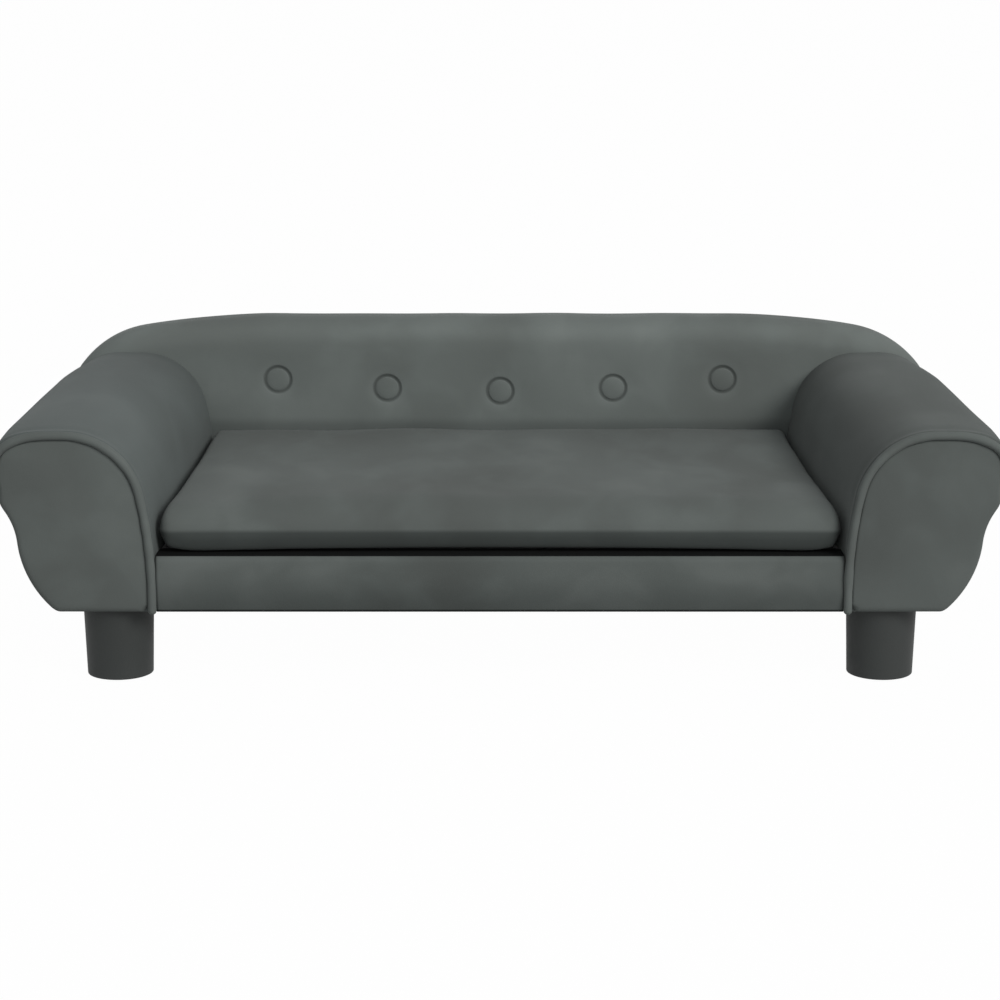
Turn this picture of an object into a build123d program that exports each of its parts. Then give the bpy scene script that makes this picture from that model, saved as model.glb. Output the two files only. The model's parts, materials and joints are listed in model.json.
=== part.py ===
from build123d import *
import os
from math import asin, cos, degrees, radians, sin

# A dog bed built as a small upholstered sofa: a seat box with a loose cushion, two rolled
# arms and a full-width buttoned back on four round legs.
# Lengths are in millimetres. +X is the right arm seen from the front, +Y the back, +Z up.
# The origin lies on the floor under the middle of the sofa.

# Overall sizes
overall_width = 1000.0
overall_depth = 500.0
leg_height = 75.0
arm_rise = 183.0
seat_rise = 57.0

# Arm outline, seen from the front, as tangent arcs; turns are in degrees. Towards the back the
# arm toes in, its crest rises a little and its roll gets tighter. At the front the inner face
# starts to lean out at flank_rise above the underside
arm_width = 160.0
arm_toe_in = 16.0
arm_lift = 4.0
flank_radius = 457.0
flank_rise = 25.4
roll_radius = 79.0
roll_tightening = 7.0
crest_radius = 72.0
crest_turn = 36.9
bulge_radius = 32.0
under_radius = 74.0
under_turn = 33.6
neck_radius = 67.5
belly_start = 5.4
belly_radius = 106.5
corner_radius = 8.0

# Back outline and section
back_thickness = 52.0
back_side_rise = 4.8
crown_radius = 850.0
crown_turn = 10.0
back_shoulder_radius = 120.0
back_shoulder_turn = 50.0
back_corner_radius = 30.0
back_front_round = 26.0
back_rear_round = 8.0

# Covers, padding and liners
cover_thickness = 2.0
arm_foam_thickness = 16.0
liner_thickness = 3.0
back_foam_front = 27.0
back_foam_edge = 14.0
rail_foam_thickness = 8.0
deck_foam_thickness = 10.0
dust_cover_thickness = 1.0
dust_cover_margin = 12.0
arm_front_lip = 12.0
arm_front_round = 4.0
front_round_turns = (0, 30, 60, 90)
back_rear_lip = 28.0

# Facing and piping of the arm fronts
piping_diameter = 9.0
piping_tail = 3.0
piping_end_turn = 15.0
facing_thickness = 7.0
facing_gap = 0.5
facing_round = 3.0

# Outside back
outside_panel_thickness = 3.0
outside_panel_inset = 9.0
outside_panel_round = 1.5

# Wood
base_board_thickness = 18.0
arm_panel_thickness = 12.0
top_rail_width = 24.0
top_rail_height = 30.0
top_rail_drop = 4.0
inner_board_thickness = 9.0
inner_board_inset = 4.0
inner_board_height = 62.0
back_board_thickness = 10.0
back_lower_rail_height = 51.0
back_lower_rail_end_gap = 10.0
post_width = 50.0
post_height = 140.0
post_rise = 40.0
post_inset = 75.0
front_rail_thickness = 22.0
front_rail_setback = 8.0
front_rail_depth = 34.0
front_rail_round = 9.0
frame_rail_thickness = 20.0
ledger_height = 20.0
brace_thickness = 20.0
deck_board_thickness = 12.0

# Buttons and tufts
button_x_shares = (-1.0, -0.508, 0.0, 0.508, 1.0)
button_side_gap = 88.0
button_low_z = 217.6
button_arc_rise = 13.4
button_diameter = 28.0
button_thickness = 6.0
button_round = 2.4
tuft_depth = 5.0
tuft_diameter = 64.0
tie_diameter = 2.0
tie_hole_clearance = 1.0
anchor_diameter = 20.0
anchor_thickness = 3.0

# Legs
leg_side_inset = 114.5
front_leg_inset = 53.0
rear_leg_inset = 40.0
leg_top_diameter = 70.5
leg_foot_diameter = 66.0
leg_wall = 3.5
leg_floor = 5.0
leg_boss_diameter = 18.0
leg_rib_thickness = 3.0
leg_foot_round = 1.0
pad_diameter = 50.0
pad_thickness = 1.5
leg_bolt_diameter = 8.0
leg_bolt_length = 58.0
leg_bolt_stand_out = 24.0
t_nut_flange_diameter = 22.0
t_nut_flange_thickness = 1.5
t_nut_barrel_diameter = 10.5
t_nut_barrel_length = 12.0

# Frame bolts
bolt_diameter = 6.0
bolt_head_diameter = 13.0
bolt_head_height = 5.0
bolt_hole_clearance = 0.4
side_bolt_length = 62.0
side_bolt_end_gap = 55.0
back_bolt_length = 44.0
back_bolt_side_gap = 70.0
back_bolt_x_shares = (-1.0, -0.4, 0.4, 1.0)
back_bolt_rise = 17.0
arm_bolt_length = 58.0
arm_bolt_low_rise = 55.0
arm_bolt_high_rise = 125.0

# Cushion
cushion_side_gap = 4.0
cushion_setback = 16.0
cushion_rear_gap = 9.0
cushion_edge_height = 42.0
cushion_seam_rise = 19.0
cushion_crown = 5.0
cushion_corner_radius = 24.0
cushion_front_round = 46.0
cushion_side_round = 26.0
cushion_rear_round = 20.0
cushion_under_draw = 18.0
cushion_rear_draw = 5.0
cushion_side_draw = 3.0
crown_inset = 150.0
loose_clearance = 0.3

# Zip in the cushion's rear seam
zip_end_margin = 8.0
zip_slit_height = 6.4
zip_tape_width = 12.0
zip_tape_thickness = 1.4
zip_chain_width = 5.0
zip_chain_thickness = 1.8
zip_tape_depth = 2.0
zip_groove_clearance = 0.6
slider_length = 10.0
slider_width = 9.0
slider_plate_thickness = 1.5
slider_neck_width = 4.4
slider_inset = 15.0
slider_lug_height = 1.5
slider_lug_width = 3.0
pull_length = 16.0
pull_width = 5.0
pull_thickness = 1.2
pull_end_round = 2.0

# Cuts that go right through run this far past the surface
overrun = 5.0

# Places worked out from the sizes above
front_y = -overall_depth / 2
rear_y = overall_depth / 2
base_z = leg_height
deck_z = base_z + seat_rise
outer_x = overall_width / 2
inner_x = outer_x - arm_width
arm_front_y = front_y + piping_diameter
bulge_height = crest_radius - (crest_radius - bulge_radius) * cos(radians(crest_turn))
bulge_width = bulge_radius + (crest_radius - bulge_radius) * sin(radians(crest_turn))
flank_turn = degrees(asin((arm_rise - roll_radius - flank_rise) / (flank_radius - roll_radius)))
back_rear_y = rear_y - outside_panel_thickness
back_front_y = back_rear_y - back_thickness
wood_z = base_z + cover_thickness
base_board_top_z = wood_z + base_board_thickness
arm_foam_inset = cover_thickness
arm_liner_inset = arm_foam_inset + arm_foam_thickness
arm_wood_inset = arm_liner_inset + liner_thickness
arm_inside_y = arm_front_y + cover_thickness
back_foam_y = back_front_y + cover_thickness
back_board_y = back_foam_y + back_foam_front
back_post_y = back_board_y + back_board_thickness
back_wood_inset = cover_thickness + back_foam_edge
back_inside_rear_y = back_rear_y - cover_thickness
frame_x = inner_x - arm_toe_in - frame_rail_thickness
rail_front_y = front_y + front_rail_setback
rail_rear_y = rail_front_y + front_rail_depth
deck_foam_top_z = deck_z - cover_thickness
deck_board_top_z = deck_foam_top_z - deck_foam_thickness
deck_board_z = deck_board_top_z - deck_board_thickness

os.makedirs("parts", exist_ok=True)


def finish_piece(piece, name):
    """Names a finished piece and writes it to its own file."""
    piece.part.label = name
    export_step(piece.part, f"parts/{name}.step")


def upright(y):
    """A plane across the sofa at depth y, drawn in width and height."""
    return Plane.XZ.offset(-y)


def lengthwise_rods(points, radius, start_y, end_y, mode=Mode.ADD):
    """Round rods or holes that run front to back at the given widths and heights."""
    with BuildSketch(upright(start_y)) as ends:
        with Locations(*points):
            Circle(radius)
    extrude(ends.sketch, amount=start_y - end_y, mode=mode)


def upright_rods(points, radius, start_z, end_z, mode=Mode.ADD):
    """Round rods or holes that stand on the given plan points."""
    with BuildSketch(Plane.XY.offset(start_z)) as ends:
        with Locations(*points):
            Circle(radius)
    extrude(ends.sketch, amount=end_z - start_z, mode=mode)


def rearward(y):
    """Share of the way from the arms' front to the back's front at depth y."""
    return (y - arm_front_y) / (back_front_y - arm_front_y)


def toe_in(y):
    """How far the arms have come inward at depth y."""
    return arm_toe_in * rearward(y)


def arm_block(x_range, y_range, z_range):
    """A block in the right arm or along it, whose sides toe in with the arm."""
    (x0, x1), (y0, y1), (z0, z1) = x_range, y_range, z_range
    with BuildPart() as made:
        with BuildSketch(Plane.XY.offset(z0)):
            Polygon(
                (x0 - toe_in(y0), y0), (x1 - toe_in(y0), y0),
                (x1 - toe_in(y1), y1), (x0 - toe_in(y1), y1), align=None,
            )
        extrude(amount=z1 - z0)
    return made.part


def seat_block(side_gap, y_range, z_range):
    """A block between the arms' inner faces, less a gap on either side."""
    (y0, y1), (z0, z1) = y_range, z_range
    half0 = inner_x - toe_in(y0) - side_gap
    half1 = inner_x - toe_in(y1) - side_gap
    with BuildPart() as made:
        with BuildSketch(Plane.XY.offset(z0)):
            Polygon((-half0, y0), (half0, y0), (half1, y1), (-half1, y1), align=None)
        extrude(amount=z1 - z0)
    return made.part


def block(x_range, y_range, z_range):
    """A straight-sided block between the given limits."""
    (x0, x1), (y0, y1), (z0, z1) = x_range, y_range, z_range
    with BuildPart() as made:
        with BuildSketch(Plane.XY.offset(z0)):
            with Locations(((x0 + x1) / 2, (y0 + y1) / 2)):
                Rectangle(x1 - x0, y1 - y0)
        extrude(amount=z1 - z0)
    return made.part


def mirrored(part):
    """The same piece on the other side of the sofa."""
    with BuildPart() as other:
        mirror(part, about=Plane.YZ)
    return other


def both_sides(piece, name):
    """Finishes a right-hand piece and its left-hand twin."""
    finish_piece(piece, f"right_{name}")
    finish_piece(mirrored(piece.part), f"left_{name}")


# Outline of an arm: up the inner face, over the roll and the crest, round the bulge, in at the
# neck and round the belly to the underside


def outward(turn):
    """Unit direction that points out and down by a turn from level."""
    return Vector(cos(radians(turn)), -sin(radians(turn)))


def lower_side(widest_x, bulge_z, inset, bottom_z):
    """Draws the outer side from the bulge's widest point down to the underside."""
    under = Vector(widest_x - under_radius, bulge_z)
    neck = under + outward(under_turn) * (under_radius + neck_radius)
    belly = neck - outward(belly_start) * (neck_radius + belly_radius)
    belly_end = degrees(asin((belly.Y - bottom_z) / (belly_radius - inset)))
    CenterArc(under, under_radius - inset, 0, -under_turn)
    CenterArc(neck, neck_radius + inset, 180 - under_turn, under_turn - belly_start)
    return CenterArc(belly, belly_radius - inset, -belly_start, belly_start - belly_end)


def round_lower_corner(section, inset):
    """Rounds the edge where the outer side meets the underside."""
    if corner_radius > inset:
        lowest = section.vertices().group_by(Axis.Y)[0].sort_by(Axis.X)
        fillet(lowest[-1], corner_radius - inset)


def arm_bulge_z(y):
    """Height of the bulge's widest point at depth y."""
    return base_z + arm_rise + arm_lift * rearward(y) - bulge_height


def upper_side(y, inset, bottom_z):
    """Draws the inner side, the roll, the crest and the bulge at depth y, up from bottom_z."""
    inside_x = inner_x - toe_in(y)
    bulge = Vector(outer_x - toe_in(y) - bulge_radius, arm_bulge_z(y))
    radius = roll_radius - roll_tightening * rearward(y)
    lean = outward(-flank_turn)
    crest = bulge - outward(crest_turn - 90) * (crest_radius - bulge_radius)
    flank_z = bulge.Y + bulge_height - radius - (flank_radius - radius) * lean.Y
    flank = Vector(inside_x + flank_radius, flank_z)
    roll = flank + Vector(-lean.X, lean.Y) * (flank_radius - radius)
    side = Line((inside_x + inset, bottom_z), (inside_x + inset, flank_z))
    CenterArc(flank, flank_radius - inset, 180, -flank_turn)
    over = CenterArc(roll, radius - inset, 180 - flank_turn, flank_turn - 90)
    Line(over @ 1, (crest.X, crest.Y + crest_radius - inset))
    CenterArc(crest, crest_radius - inset, 90, -crest_turn)
    CenterArc(bulge, bulge_radius - inset, 90 - crest_turn, crest_turn - 90)
    return side @ 0


def arm_section(y, inset, bottom_z):
    """Arm outline at depth y, drawn in by inset and cut off at bottom_z."""
    with BuildSketch(upright(y)) as section:
        with BuildLine():
            start = upper_side(y, inset, bottom_z)
            belly = lower_side(outer_x - toe_in(y), arm_bulge_z(y), inset, bottom_z)
            Line(belly @ 1, start)
        make_face()
        round_lower_corner(section, inset)
    return section.sketch


def arm_solid(inset, start_y, end_y, bottom_z):
    """The right arm's solid shape between two depths, drawn in by inset."""
    ends = [arm_section(y, inset, bottom_z) for y in (start_y, end_y)]
    with BuildPart() as made:
        loft(ends, ruled=True)
    return made.part


def leg_point(y):
    """Plan point of the right-hand leg at depth y."""
    return (outer_x - leg_side_inset - toe_in(y), y)


leg_points = [leg_point(front_y + front_leg_inset), leg_point(back_front_y - rear_leg_inset)]
side_bolt_front_y = rail_rear_y + side_bolt_end_gap
side_bolt_rear_y = back_front_y - side_bolt_end_gap
side_bolt_ys = (side_bolt_front_y, (side_bolt_front_y + side_bolt_rear_y) / 2, side_bolt_rear_y)
post_x = inner_x - arm_toe_in + post_inset
side_bolt_z = wood_z + base_board_thickness / 2
bolt_hole_radius = bolt_diameter / 2 + bolt_hole_clearance
leg_hole_radius = leg_bolt_diameter / 2 + bolt_hole_clearance
arm_bolt_points = [(post_x, base_z + rise) for rise in (arm_bolt_low_rise, arm_bolt_high_rise)]


def side_bolt_rods(radius, start_x, end_x, mode):
    """Rods or holes across the right side of the frame for the side bolts."""
    with BuildSketch(Plane.YZ.offset(start_x)) as ends:
        with Locations(*[(y, side_bolt_z) for y in side_bolt_ys]):
            Circle(radius)
    extrude(ends.sketch, amount=end_x - start_x, mode=mode)


# Arm cover: a velvet tube round the arm, turned in at the front under the facing
with BuildPart() as arm_cover:
    rounded_front = [
        arm_section(
            arm_front_y + arm_front_round * (1 - cos(radians(turn))),
            arm_front_round * (1 - sin(radians(turn))),
            base_z + arm_front_round * (1 - sin(radians(turn))),
        )
        for turn in front_round_turns
    ]
    loft([*rounded_front, arm_section(back_front_y, 0, base_z)], ruled=True)
    add(arm_solid(cover_thickness, arm_inside_y, back_front_y, wood_z), mode=Mode.SUBTRACT)
    extrude(arm_section(arm_front_y, arm_front_lip, base_z + arm_front_lip),
            amount=-cover_thickness, mode=Mode.SUBTRACT)
    upright_rods(leg_points, leg_hole_radius, base_z, wood_z, mode=Mode.SUBTRACT)
    side_bolt_rods(bolt_hole_radius, frame_x, inner_x + cover_thickness, Mode.SUBTRACT)
both_sides(arm_cover, "arm_cover")

# Arm base board: the bottom of the arm, which carries the legs and the side bolts
with BuildPart() as arm_base_board:
    add(arm_solid(cover_thickness, arm_inside_y, back_front_y, wood_z))
    split(bisect_by=Plane.XY.offset(base_board_top_z), keep=Keep.BOTTOM)
    upright_rods(
        leg_points, t_nut_barrel_diameter / 2 + bolt_hole_clearance,
        wood_z, base_board_top_z, mode=Mode.SUBTRACT,
    )
    side_bolt_rods(bolt_hole_radius, frame_x, frame_x + side_bolt_length + overrun,
                   Mode.SUBTRACT)
both_sides(arm_base_board, "arm_base_board")

# Arm foam: wraps the roll from the base board's inner edge to its outer edge
with BuildPart() as arm_foam:
    add(arm_solid(arm_foam_inset, arm_inside_y, back_front_y, wood_z))
    add(arm_solid(arm_liner_inset, arm_inside_y, back_front_y, wood_z), mode=Mode.SUBTRACT)
    split(bisect_by=Plane.XY.offset(base_board_top_z), keep=Keep.TOP)
both_sides(arm_foam, "arm_foam")

# Arm liner: bent card under the foam
with BuildPart() as arm_liner:
    add(arm_solid(arm_liner_inset, arm_inside_y, back_front_y, wood_z))
    add(arm_solid(arm_wood_inset, arm_inside_y, back_front_y, wood_z), mode=Mode.SUBTRACT)
    split(bisect_by=Plane.XY.offset(base_board_top_z), keep=Keep.TOP)
both_sides(arm_liner, "arm_liner")

# Arm end panels: plywood formers at the front and the rear of each arm
panel_inside_y = arm_inside_y + arm_panel_thickness
rear_panel_y = back_front_y - arm_panel_thickness

with BuildPart() as arm_front_panel:
    add(arm_solid(arm_wood_inset, arm_inside_y, back_front_y, wood_z))
    split(bisect_by=Plane.XY.offset(base_board_top_z), keep=Keep.TOP)
    split(bisect_by=upright(panel_inside_y), keep=Keep.TOP)
both_sides(arm_front_panel, "arm_front_panel")

with BuildPart() as arm_rear_panel:
    add(arm_solid(arm_wood_inset, arm_inside_y, back_front_y, wood_z))
    split(bisect_by=Plane.XY.offset(base_board_top_z), keep=Keep.TOP)
    split(bisect_by=upright(rear_panel_y), keep=Keep.BOTTOM)
    lengthwise_rods(arm_bolt_points, bolt_hole_radius, rear_panel_y, back_front_y,
                    mode=Mode.SUBTRACT)
both_sides(arm_rear_panel, "arm_rear_panel")

# Arm top rail and inner board: they tie the front panel to the rear panel
top_rail_x = outer_x - bulge_width - top_rail_width
top_rail_top_z = base_z + arm_rise - arm_wood_inset - top_rail_drop
with BuildPart() as arm_top_rail:
    add(arm_block(
        (top_rail_x, top_rail_x + top_rail_width),
        (panel_inside_y, rear_panel_y),
        (top_rail_top_z - top_rail_height, top_rail_top_z),
    ))
both_sides(arm_top_rail, "arm_top_rail")

inner_board_x = inner_x + arm_wood_inset + inner_board_inset
with BuildPart() as arm_inner_board:
    add(arm_block(
        (inner_board_x, inner_board_x + inner_board_thickness),
        (panel_inside_y, rear_panel_y),
        (base_board_top_z, base_board_top_z + inner_board_height),
    ))
both_sides(arm_inner_board, "arm_inner_board")

# Arm facing: a padded velvet panel that closes the front of the arm inside the piping
facing_inset = piping_diameter + facing_gap
with BuildPart() as arm_facing:
    extrude(arm_section(arm_front_y, facing_inset, base_z + facing_gap),
            amount=facing_thickness)
    facing_edges = arm_facing.faces().sort_by(Axis.Y)[0].outer_wire().edges()
    fillet(facing_edges, facing_round)
both_sides(arm_facing, "arm_facing")

# Arm piping: a round cord up the inner edge, over the roll and round the bulge
piping_radius = piping_diameter / 2
with BuildLine() as piping_outline:
    upper_side(arm_front_y, piping_radius, base_z - piping_tail)
    CenterArc((outer_x - under_radius, arm_bulge_z(arm_front_y)),
              under_radius - piping_radius, 0, -piping_end_turn)
piping_path = upright(arm_front_y - piping_radius) * piping_outline.wire()
with BuildPart() as arm_piping:
    with BuildSketch(Plane(piping_path @ 0, z_dir=piping_path % 0)):
        Circle(piping_radius)
    sweep(path=piping_path)
both_sides(arm_piping, "arm_piping")

# Outline of the back: up the arm's outer side, round the corner and the shoulder, then a slow
# rise to the flat crest
back_side_x = outer_x - arm_toe_in
back_widest_z = arm_bulge_z(back_front_y)


def back_section(y, inset, bottom_z):
    """The back's outline at depth y, drawn in by inset: its right half and the mirror image."""
    up = Vector(0, 1)
    corner = Vector(back_side_x - back_corner_radius, back_widest_z + back_side_rise)
    shoulder = corner - up.rotate(Axis.Z, -back_shoulder_turn) * (
        back_shoulder_radius - back_corner_radius
    )
    crown = shoulder - up.rotate(Axis.Z, -crown_turn) * (crown_radius - back_shoulder_radius)
    top_z = crown.Y + crown_radius - inset
    with BuildSketch(upright(y)) as outline:
        with BuildLine():
            Line((0, top_z), (crown.X, top_z))
            CenterArc(crown, crown_radius - inset, 90, -crown_turn)
            CenterArc(shoulder, back_shoulder_radius - inset, 90 - crown_turn,
                      crown_turn - back_shoulder_turn)
            CenterArc(corner, back_corner_radius - inset, 90 - back_shoulder_turn,
                      back_shoulder_turn - 90)
            Line((back_side_x - inset, corner.Y), (back_side_x - inset, back_widest_z))
            belly = lower_side(back_side_x, back_widest_z, inset, bottom_z)
            Line(belly @ 1, (0, bottom_z))
            mirror(about=Plane.YZ)
        make_face()
    return outline.sketch


def back_slab(inset, start_y, end_y, bottom_z):
    """A flat slab with the back's outline between two depths."""
    with BuildPart() as made:
        extrude(back_section(start_y, inset, bottom_z), amount=start_y - end_y)
    return made.part


def side_edges(part, y_index):
    """Edges round a slab's front or rear face, leaving out the straight one at its foot."""
    wire = part.faces().filter_by(Axis.Y).sort_by(Axis.Y)[y_index].outer_wire()
    return wire.edges().sort_by(Axis.Z)[1:]


def back_body(inset, start_y, end_y, bottom_z):
    """The padded back: soft front edge above the arms, square behind them, soft rear edge."""
    with BuildPart() as made:
        add(back_slab(inset, start_y, end_y, bottom_z))
        split(bisect_by=Plane.XY.offset(back_widest_z), keep=Keep.TOP)
        fillet(side_edges(made, 0), back_front_round - inset)
        with BuildPart(mode=Mode.PRIVATE) as lower:
            add(back_slab(inset, start_y, end_y, bottom_z))
            split(bisect_by=Plane.XY.offset(back_widest_z), keep=Keep.BOTTOM)
        add(lower.part)
        fillet(side_edges(made, -1), back_rear_round - inset)
    return made.part


button_span = inner_x - button_side_gap
button_points = [
    (share * button_span, button_low_z + button_arc_rise * share * share)
    for share in button_x_shares
]
tuft_radius = (tuft_diameter * tuft_diameter / 4 + tuft_depth * tuft_depth) / (2 * tuft_depth)
tuft_centre_y = back_front_y + tuft_depth - tuft_radius


def tufts(radius):
    """Hollows that the buttons pull into the back's front."""
    with Locations(*[(x, tuft_centre_y, z) for x, z in button_points]):
        Sphere(radius, mode=Mode.SUBTRACT)


back_arm_bolt_points = arm_bolt_points + [(-x, z) for x, z in arm_bolt_points]
back_bolt_span = inner_x - arm_toe_in - back_bolt_side_gap
back_bolt_points = [
    (share * back_bolt_span, wood_z + back_bolt_rise) for share in back_bolt_x_shares
]

# Space inside the back cover
with BuildPart() as back_inside:
    add(back_body(cover_thickness, back_foam_y, back_inside_rear_y, wood_z))
    tufts(tuft_radius + cover_thickness)

# Inside back cover: velvet over the front, the top and the sides, turned in at the rear
with BuildPart() as inside_back_cover:
    add(back_body(0, back_front_y, back_rear_y, base_z))
    tufts(tuft_radius)
    add(back_inside.part, mode=Mode.SUBTRACT)
    add(back_slab(back_rear_lip, back_inside_rear_y, back_rear_y, base_z + back_rear_lip),
        mode=Mode.SUBTRACT)
    lengthwise_rods(button_points, tie_diameter / 2 + tie_hole_clearance,
                    back_front_y, back_board_y, mode=Mode.SUBTRACT)
    lengthwise_rods(back_arm_bolt_points + back_bolt_points, bolt_hole_radius,
                    back_front_y, back_foam_y, mode=Mode.SUBTRACT)
finish_piece(inside_back_cover, "inside_back_cover")

# Back foam: thick in front of the board, thinner over its edge
lower_rail_top_z = wood_z + back_lower_rail_height
lower_rail_end_x = inner_x - arm_toe_in - back_lower_rail_end_gap
lower_rail_limits = (
    (-lower_rail_end_x, lower_rail_end_x),
    (back_foam_y, back_board_y),
    (wood_z, lower_rail_top_z),
)
with BuildPart() as back_foam:
    add(back_inside.part)
    add(back_slab(back_wood_inset, back_board_y, back_rear_y, base_z), mode=Mode.SUBTRACT)
    add(block(*lower_rail_limits), mode=Mode.SUBTRACT)
    lengthwise_rods(button_points, tie_diameter / 2 + tie_hole_clearance,
                    back_front_y, back_board_y, mode=Mode.SUBTRACT)
    lengthwise_rods(back_arm_bolt_points, bolt_hole_radius,
                    back_front_y, back_board_y, mode=Mode.SUBTRACT)
finish_piece(back_foam, "back_foam")

# Back board: plywood that the foam, the ties and the posts are fixed to
with BuildPart() as back_board:
    add(back_slab(back_wood_inset, back_board_y, back_post_y, wood_z))
    lengthwise_rods(button_points, tie_diameter / 2 + tie_hole_clearance,
                    back_board_y, back_post_y, mode=Mode.SUBTRACT)
    lengthwise_rods(back_arm_bolt_points, bolt_hole_radius,
                    back_board_y, back_post_y, mode=Mode.SUBTRACT)
finish_piece(back_board, "back_board")

# Back lower rail: takes the bolts from the seat box
with BuildPart() as back_lower_rail:
    add(block(*lower_rail_limits))
    lengthwise_rods(back_bolt_points, bolt_hole_radius, back_foam_y, back_board_y,
                    mode=Mode.SUBTRACT)
finish_piece(back_lower_rail, "back_lower_rail")

# Back posts: battens behind the board that take the bolts from the arms
with BuildPart() as back_post:
    add(block(
        (post_x - post_width / 2, post_x + post_width / 2),
        (back_post_y, back_inside_rear_y),
        (wood_z + post_rise, wood_z + post_rise + post_height),
    ))
    lengthwise_rods(arm_bolt_points, bolt_hole_radius, back_post_y, back_inside_rear_y,
                    mode=Mode.SUBTRACT)
both_sides(back_post, "back_post")

# Outside back panel: fabric over card, over the turned-in edge of the back cover
with BuildPart() as outside_back_panel:
    add(back_slab(outside_panel_inset, back_rear_y, rear_y, base_z + outside_panel_inset))
    rear_edges = outside_back_panel.faces().sort_by(Axis.Y)[-1].outer_wire().edges()
    fillet(rear_edges, outside_panel_round)
finish_piece(outside_back_panel, "outside_back_panel")

# Buttons: covered discs seated in the tufts, each on its own tie
button_rear_y = (
    tuft_centre_y + (tuft_radius ** 2 - (button_diameter / 2) ** 2) ** 0.5
)
for number, point in enumerate(button_points, 1):
    with BuildPart() as back_button:
        lengthwise_rods([point], button_diameter / 2, button_rear_y - button_thickness,
                        button_rear_y)
        rim = back_button.faces().sort_by(Axis.Y)[0].edges()
        fillet(rim, button_round)
    finish_piece(back_button, f"back_button_{number}")

with BuildPart() as button_ties:
    lengthwise_rods(button_points, tie_diameter / 2, button_rear_y, back_post_y)
finish_piece(button_ties, "button_ties")

with BuildPart() as button_anchors:
    lengthwise_rods(button_points, anchor_diameter / 2, back_post_y,
                    back_post_y + anchor_thickness)
finish_piece(button_anchors, "button_anchors")

# Seat box: front rail, rear rail, side rails, ledger and brace under the deck board
rail_board_y = rail_front_y + cover_thickness + rail_foam_thickness
rail_board_top_z = deck_z - cover_thickness - rail_foam_thickness
rear_rail_y = back_front_y - frame_rail_thickness
ledger_y = rail_rear_y + frame_rail_thickness

with BuildPart() as front_rail:
    add(seat_block(0, (rail_board_y, rail_board_y + front_rail_thickness),
                   (wood_z, rail_board_top_z)))
finish_piece(front_rail, "front_rail")


def rail_section(inset, round_radius):
    """Section of the front rail's upholstery, with its front top edge rounded."""
    y0, y1 = rail_front_y + inset, rail_rear_y - inset
    z0, z1 = base_z + inset, deck_z - inset
    with BuildSketch(Plane.YZ) as section:
        with Locations(((y0 + y1) / 2, (z0 + z1) / 2)):
            Rectangle(y1 - y0, z1 - z0)
        fillet(section.vertices().group_by(Axis.Y)[-1].sort_by(Axis.X)[0], round_radius)
    extrude(section.sketch, amount=outer_x, both=True)
    add(seat_block(0, (rail_front_y, rail_rear_y), (base_z, deck_z)), mode=Mode.INTERSECT)


with BuildPart() as rail_inside:
    rail_section(cover_thickness, front_rail_round - cover_thickness)

with BuildPart() as front_rail_cover:
    rail_section(0, front_rail_round)
    add(rail_inside.part, mode=Mode.SUBTRACT)
finish_piece(front_rail_cover, "front_rail_cover")

with BuildPart() as front_rail_foam:
    add(rail_inside.part)
    add(front_rail.part, mode=Mode.SUBTRACT)
    split(bisect_by=upright(rail_board_y + front_rail_thickness), keep=Keep.TOP)
finish_piece(front_rail_foam, "front_rail_foam")

with BuildPart() as rear_rail:
    add(block((-frame_x, frame_x), (rear_rail_y, back_front_y), (wood_z, deck_board_z)))
    lengthwise_rods(back_bolt_points, bolt_hole_radius, rear_rail_y, back_front_y,
                    mode=Mode.SUBTRACT)
finish_piece(rear_rail, "rear_rail")

with BuildPart() as side_rail:
    add(seat_block(0, (rail_rear_y, back_front_y), (wood_z, deck_board_z)))
    add(block((-outer_x, frame_x), (rail_rear_y, back_front_y), (wood_z, deck_board_z)),
        mode=Mode.SUBTRACT)
    side_bolt_rods(bolt_hole_radius, frame_x, inner_x, Mode.SUBTRACT)
both_sides(side_rail, "side_rail")

with BuildPart() as front_ledger:
    add(block((-frame_x, frame_x), (rail_rear_y, ledger_y),
              (deck_board_z - ledger_height, deck_board_z)))
finish_piece(front_ledger, "front_ledger")

with BuildPart() as centre_brace:
    add(block((-brace_thickness / 2, brace_thickness / 2), (ledger_y, rear_rail_y),
              (wood_z, deck_board_z)))
finish_piece(centre_brace, "centre_brace")

# Deck: board, foam and cover that the loose cushion lies on
deck_layers = (
    ("deck_board", deck_board_z, deck_board_top_z),
    ("deck_foam", deck_board_top_z, deck_foam_top_z),
    ("deck_cover", deck_foam_top_z, deck_z),
)
for name, low_z, high_z in deck_layers:
    with BuildPart() as deck_layer:
        add(seat_block(0, (rail_rear_y, back_front_y), (low_z, high_z)))
    finish_piece(deck_layer, name)

# Dust cover: thin black cloth under the seat box and the back
with BuildPart() as dust_cover:
    add(seat_block(
        dust_cover_margin,
        (rail_front_y + dust_cover_margin, back_rear_y - dust_cover_margin),
        (base_z - dust_cover_thickness, base_z),
    ))
finish_piece(dust_cover, "dust_cover")

# Frame bolts: side rails to arm base boards, rear rail to back, arms to back posts
with BuildPart() as frame_bolts:
    side_bolt_rods(bolt_diameter / 2, frame_x, frame_x + side_bolt_length, Mode.ADD)
    side_bolt_rods(bolt_head_diameter / 2, frame_x - bolt_head_height, frame_x, Mode.ADD)
    mirror(about=Plane.YZ)
    for points, start_y, length in (
        (back_bolt_points, rear_rail_y, back_bolt_length),
        (back_arm_bolt_points, rear_panel_y, arm_bolt_length),
    ):
        lengthwise_rods(points, bolt_diameter / 2, start_y, start_y + length)
        lengthwise_rods(points, bolt_head_diameter / 2, start_y - bolt_head_height, start_y)
finish_piece(frame_bolts, "frame_bolts")

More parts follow.
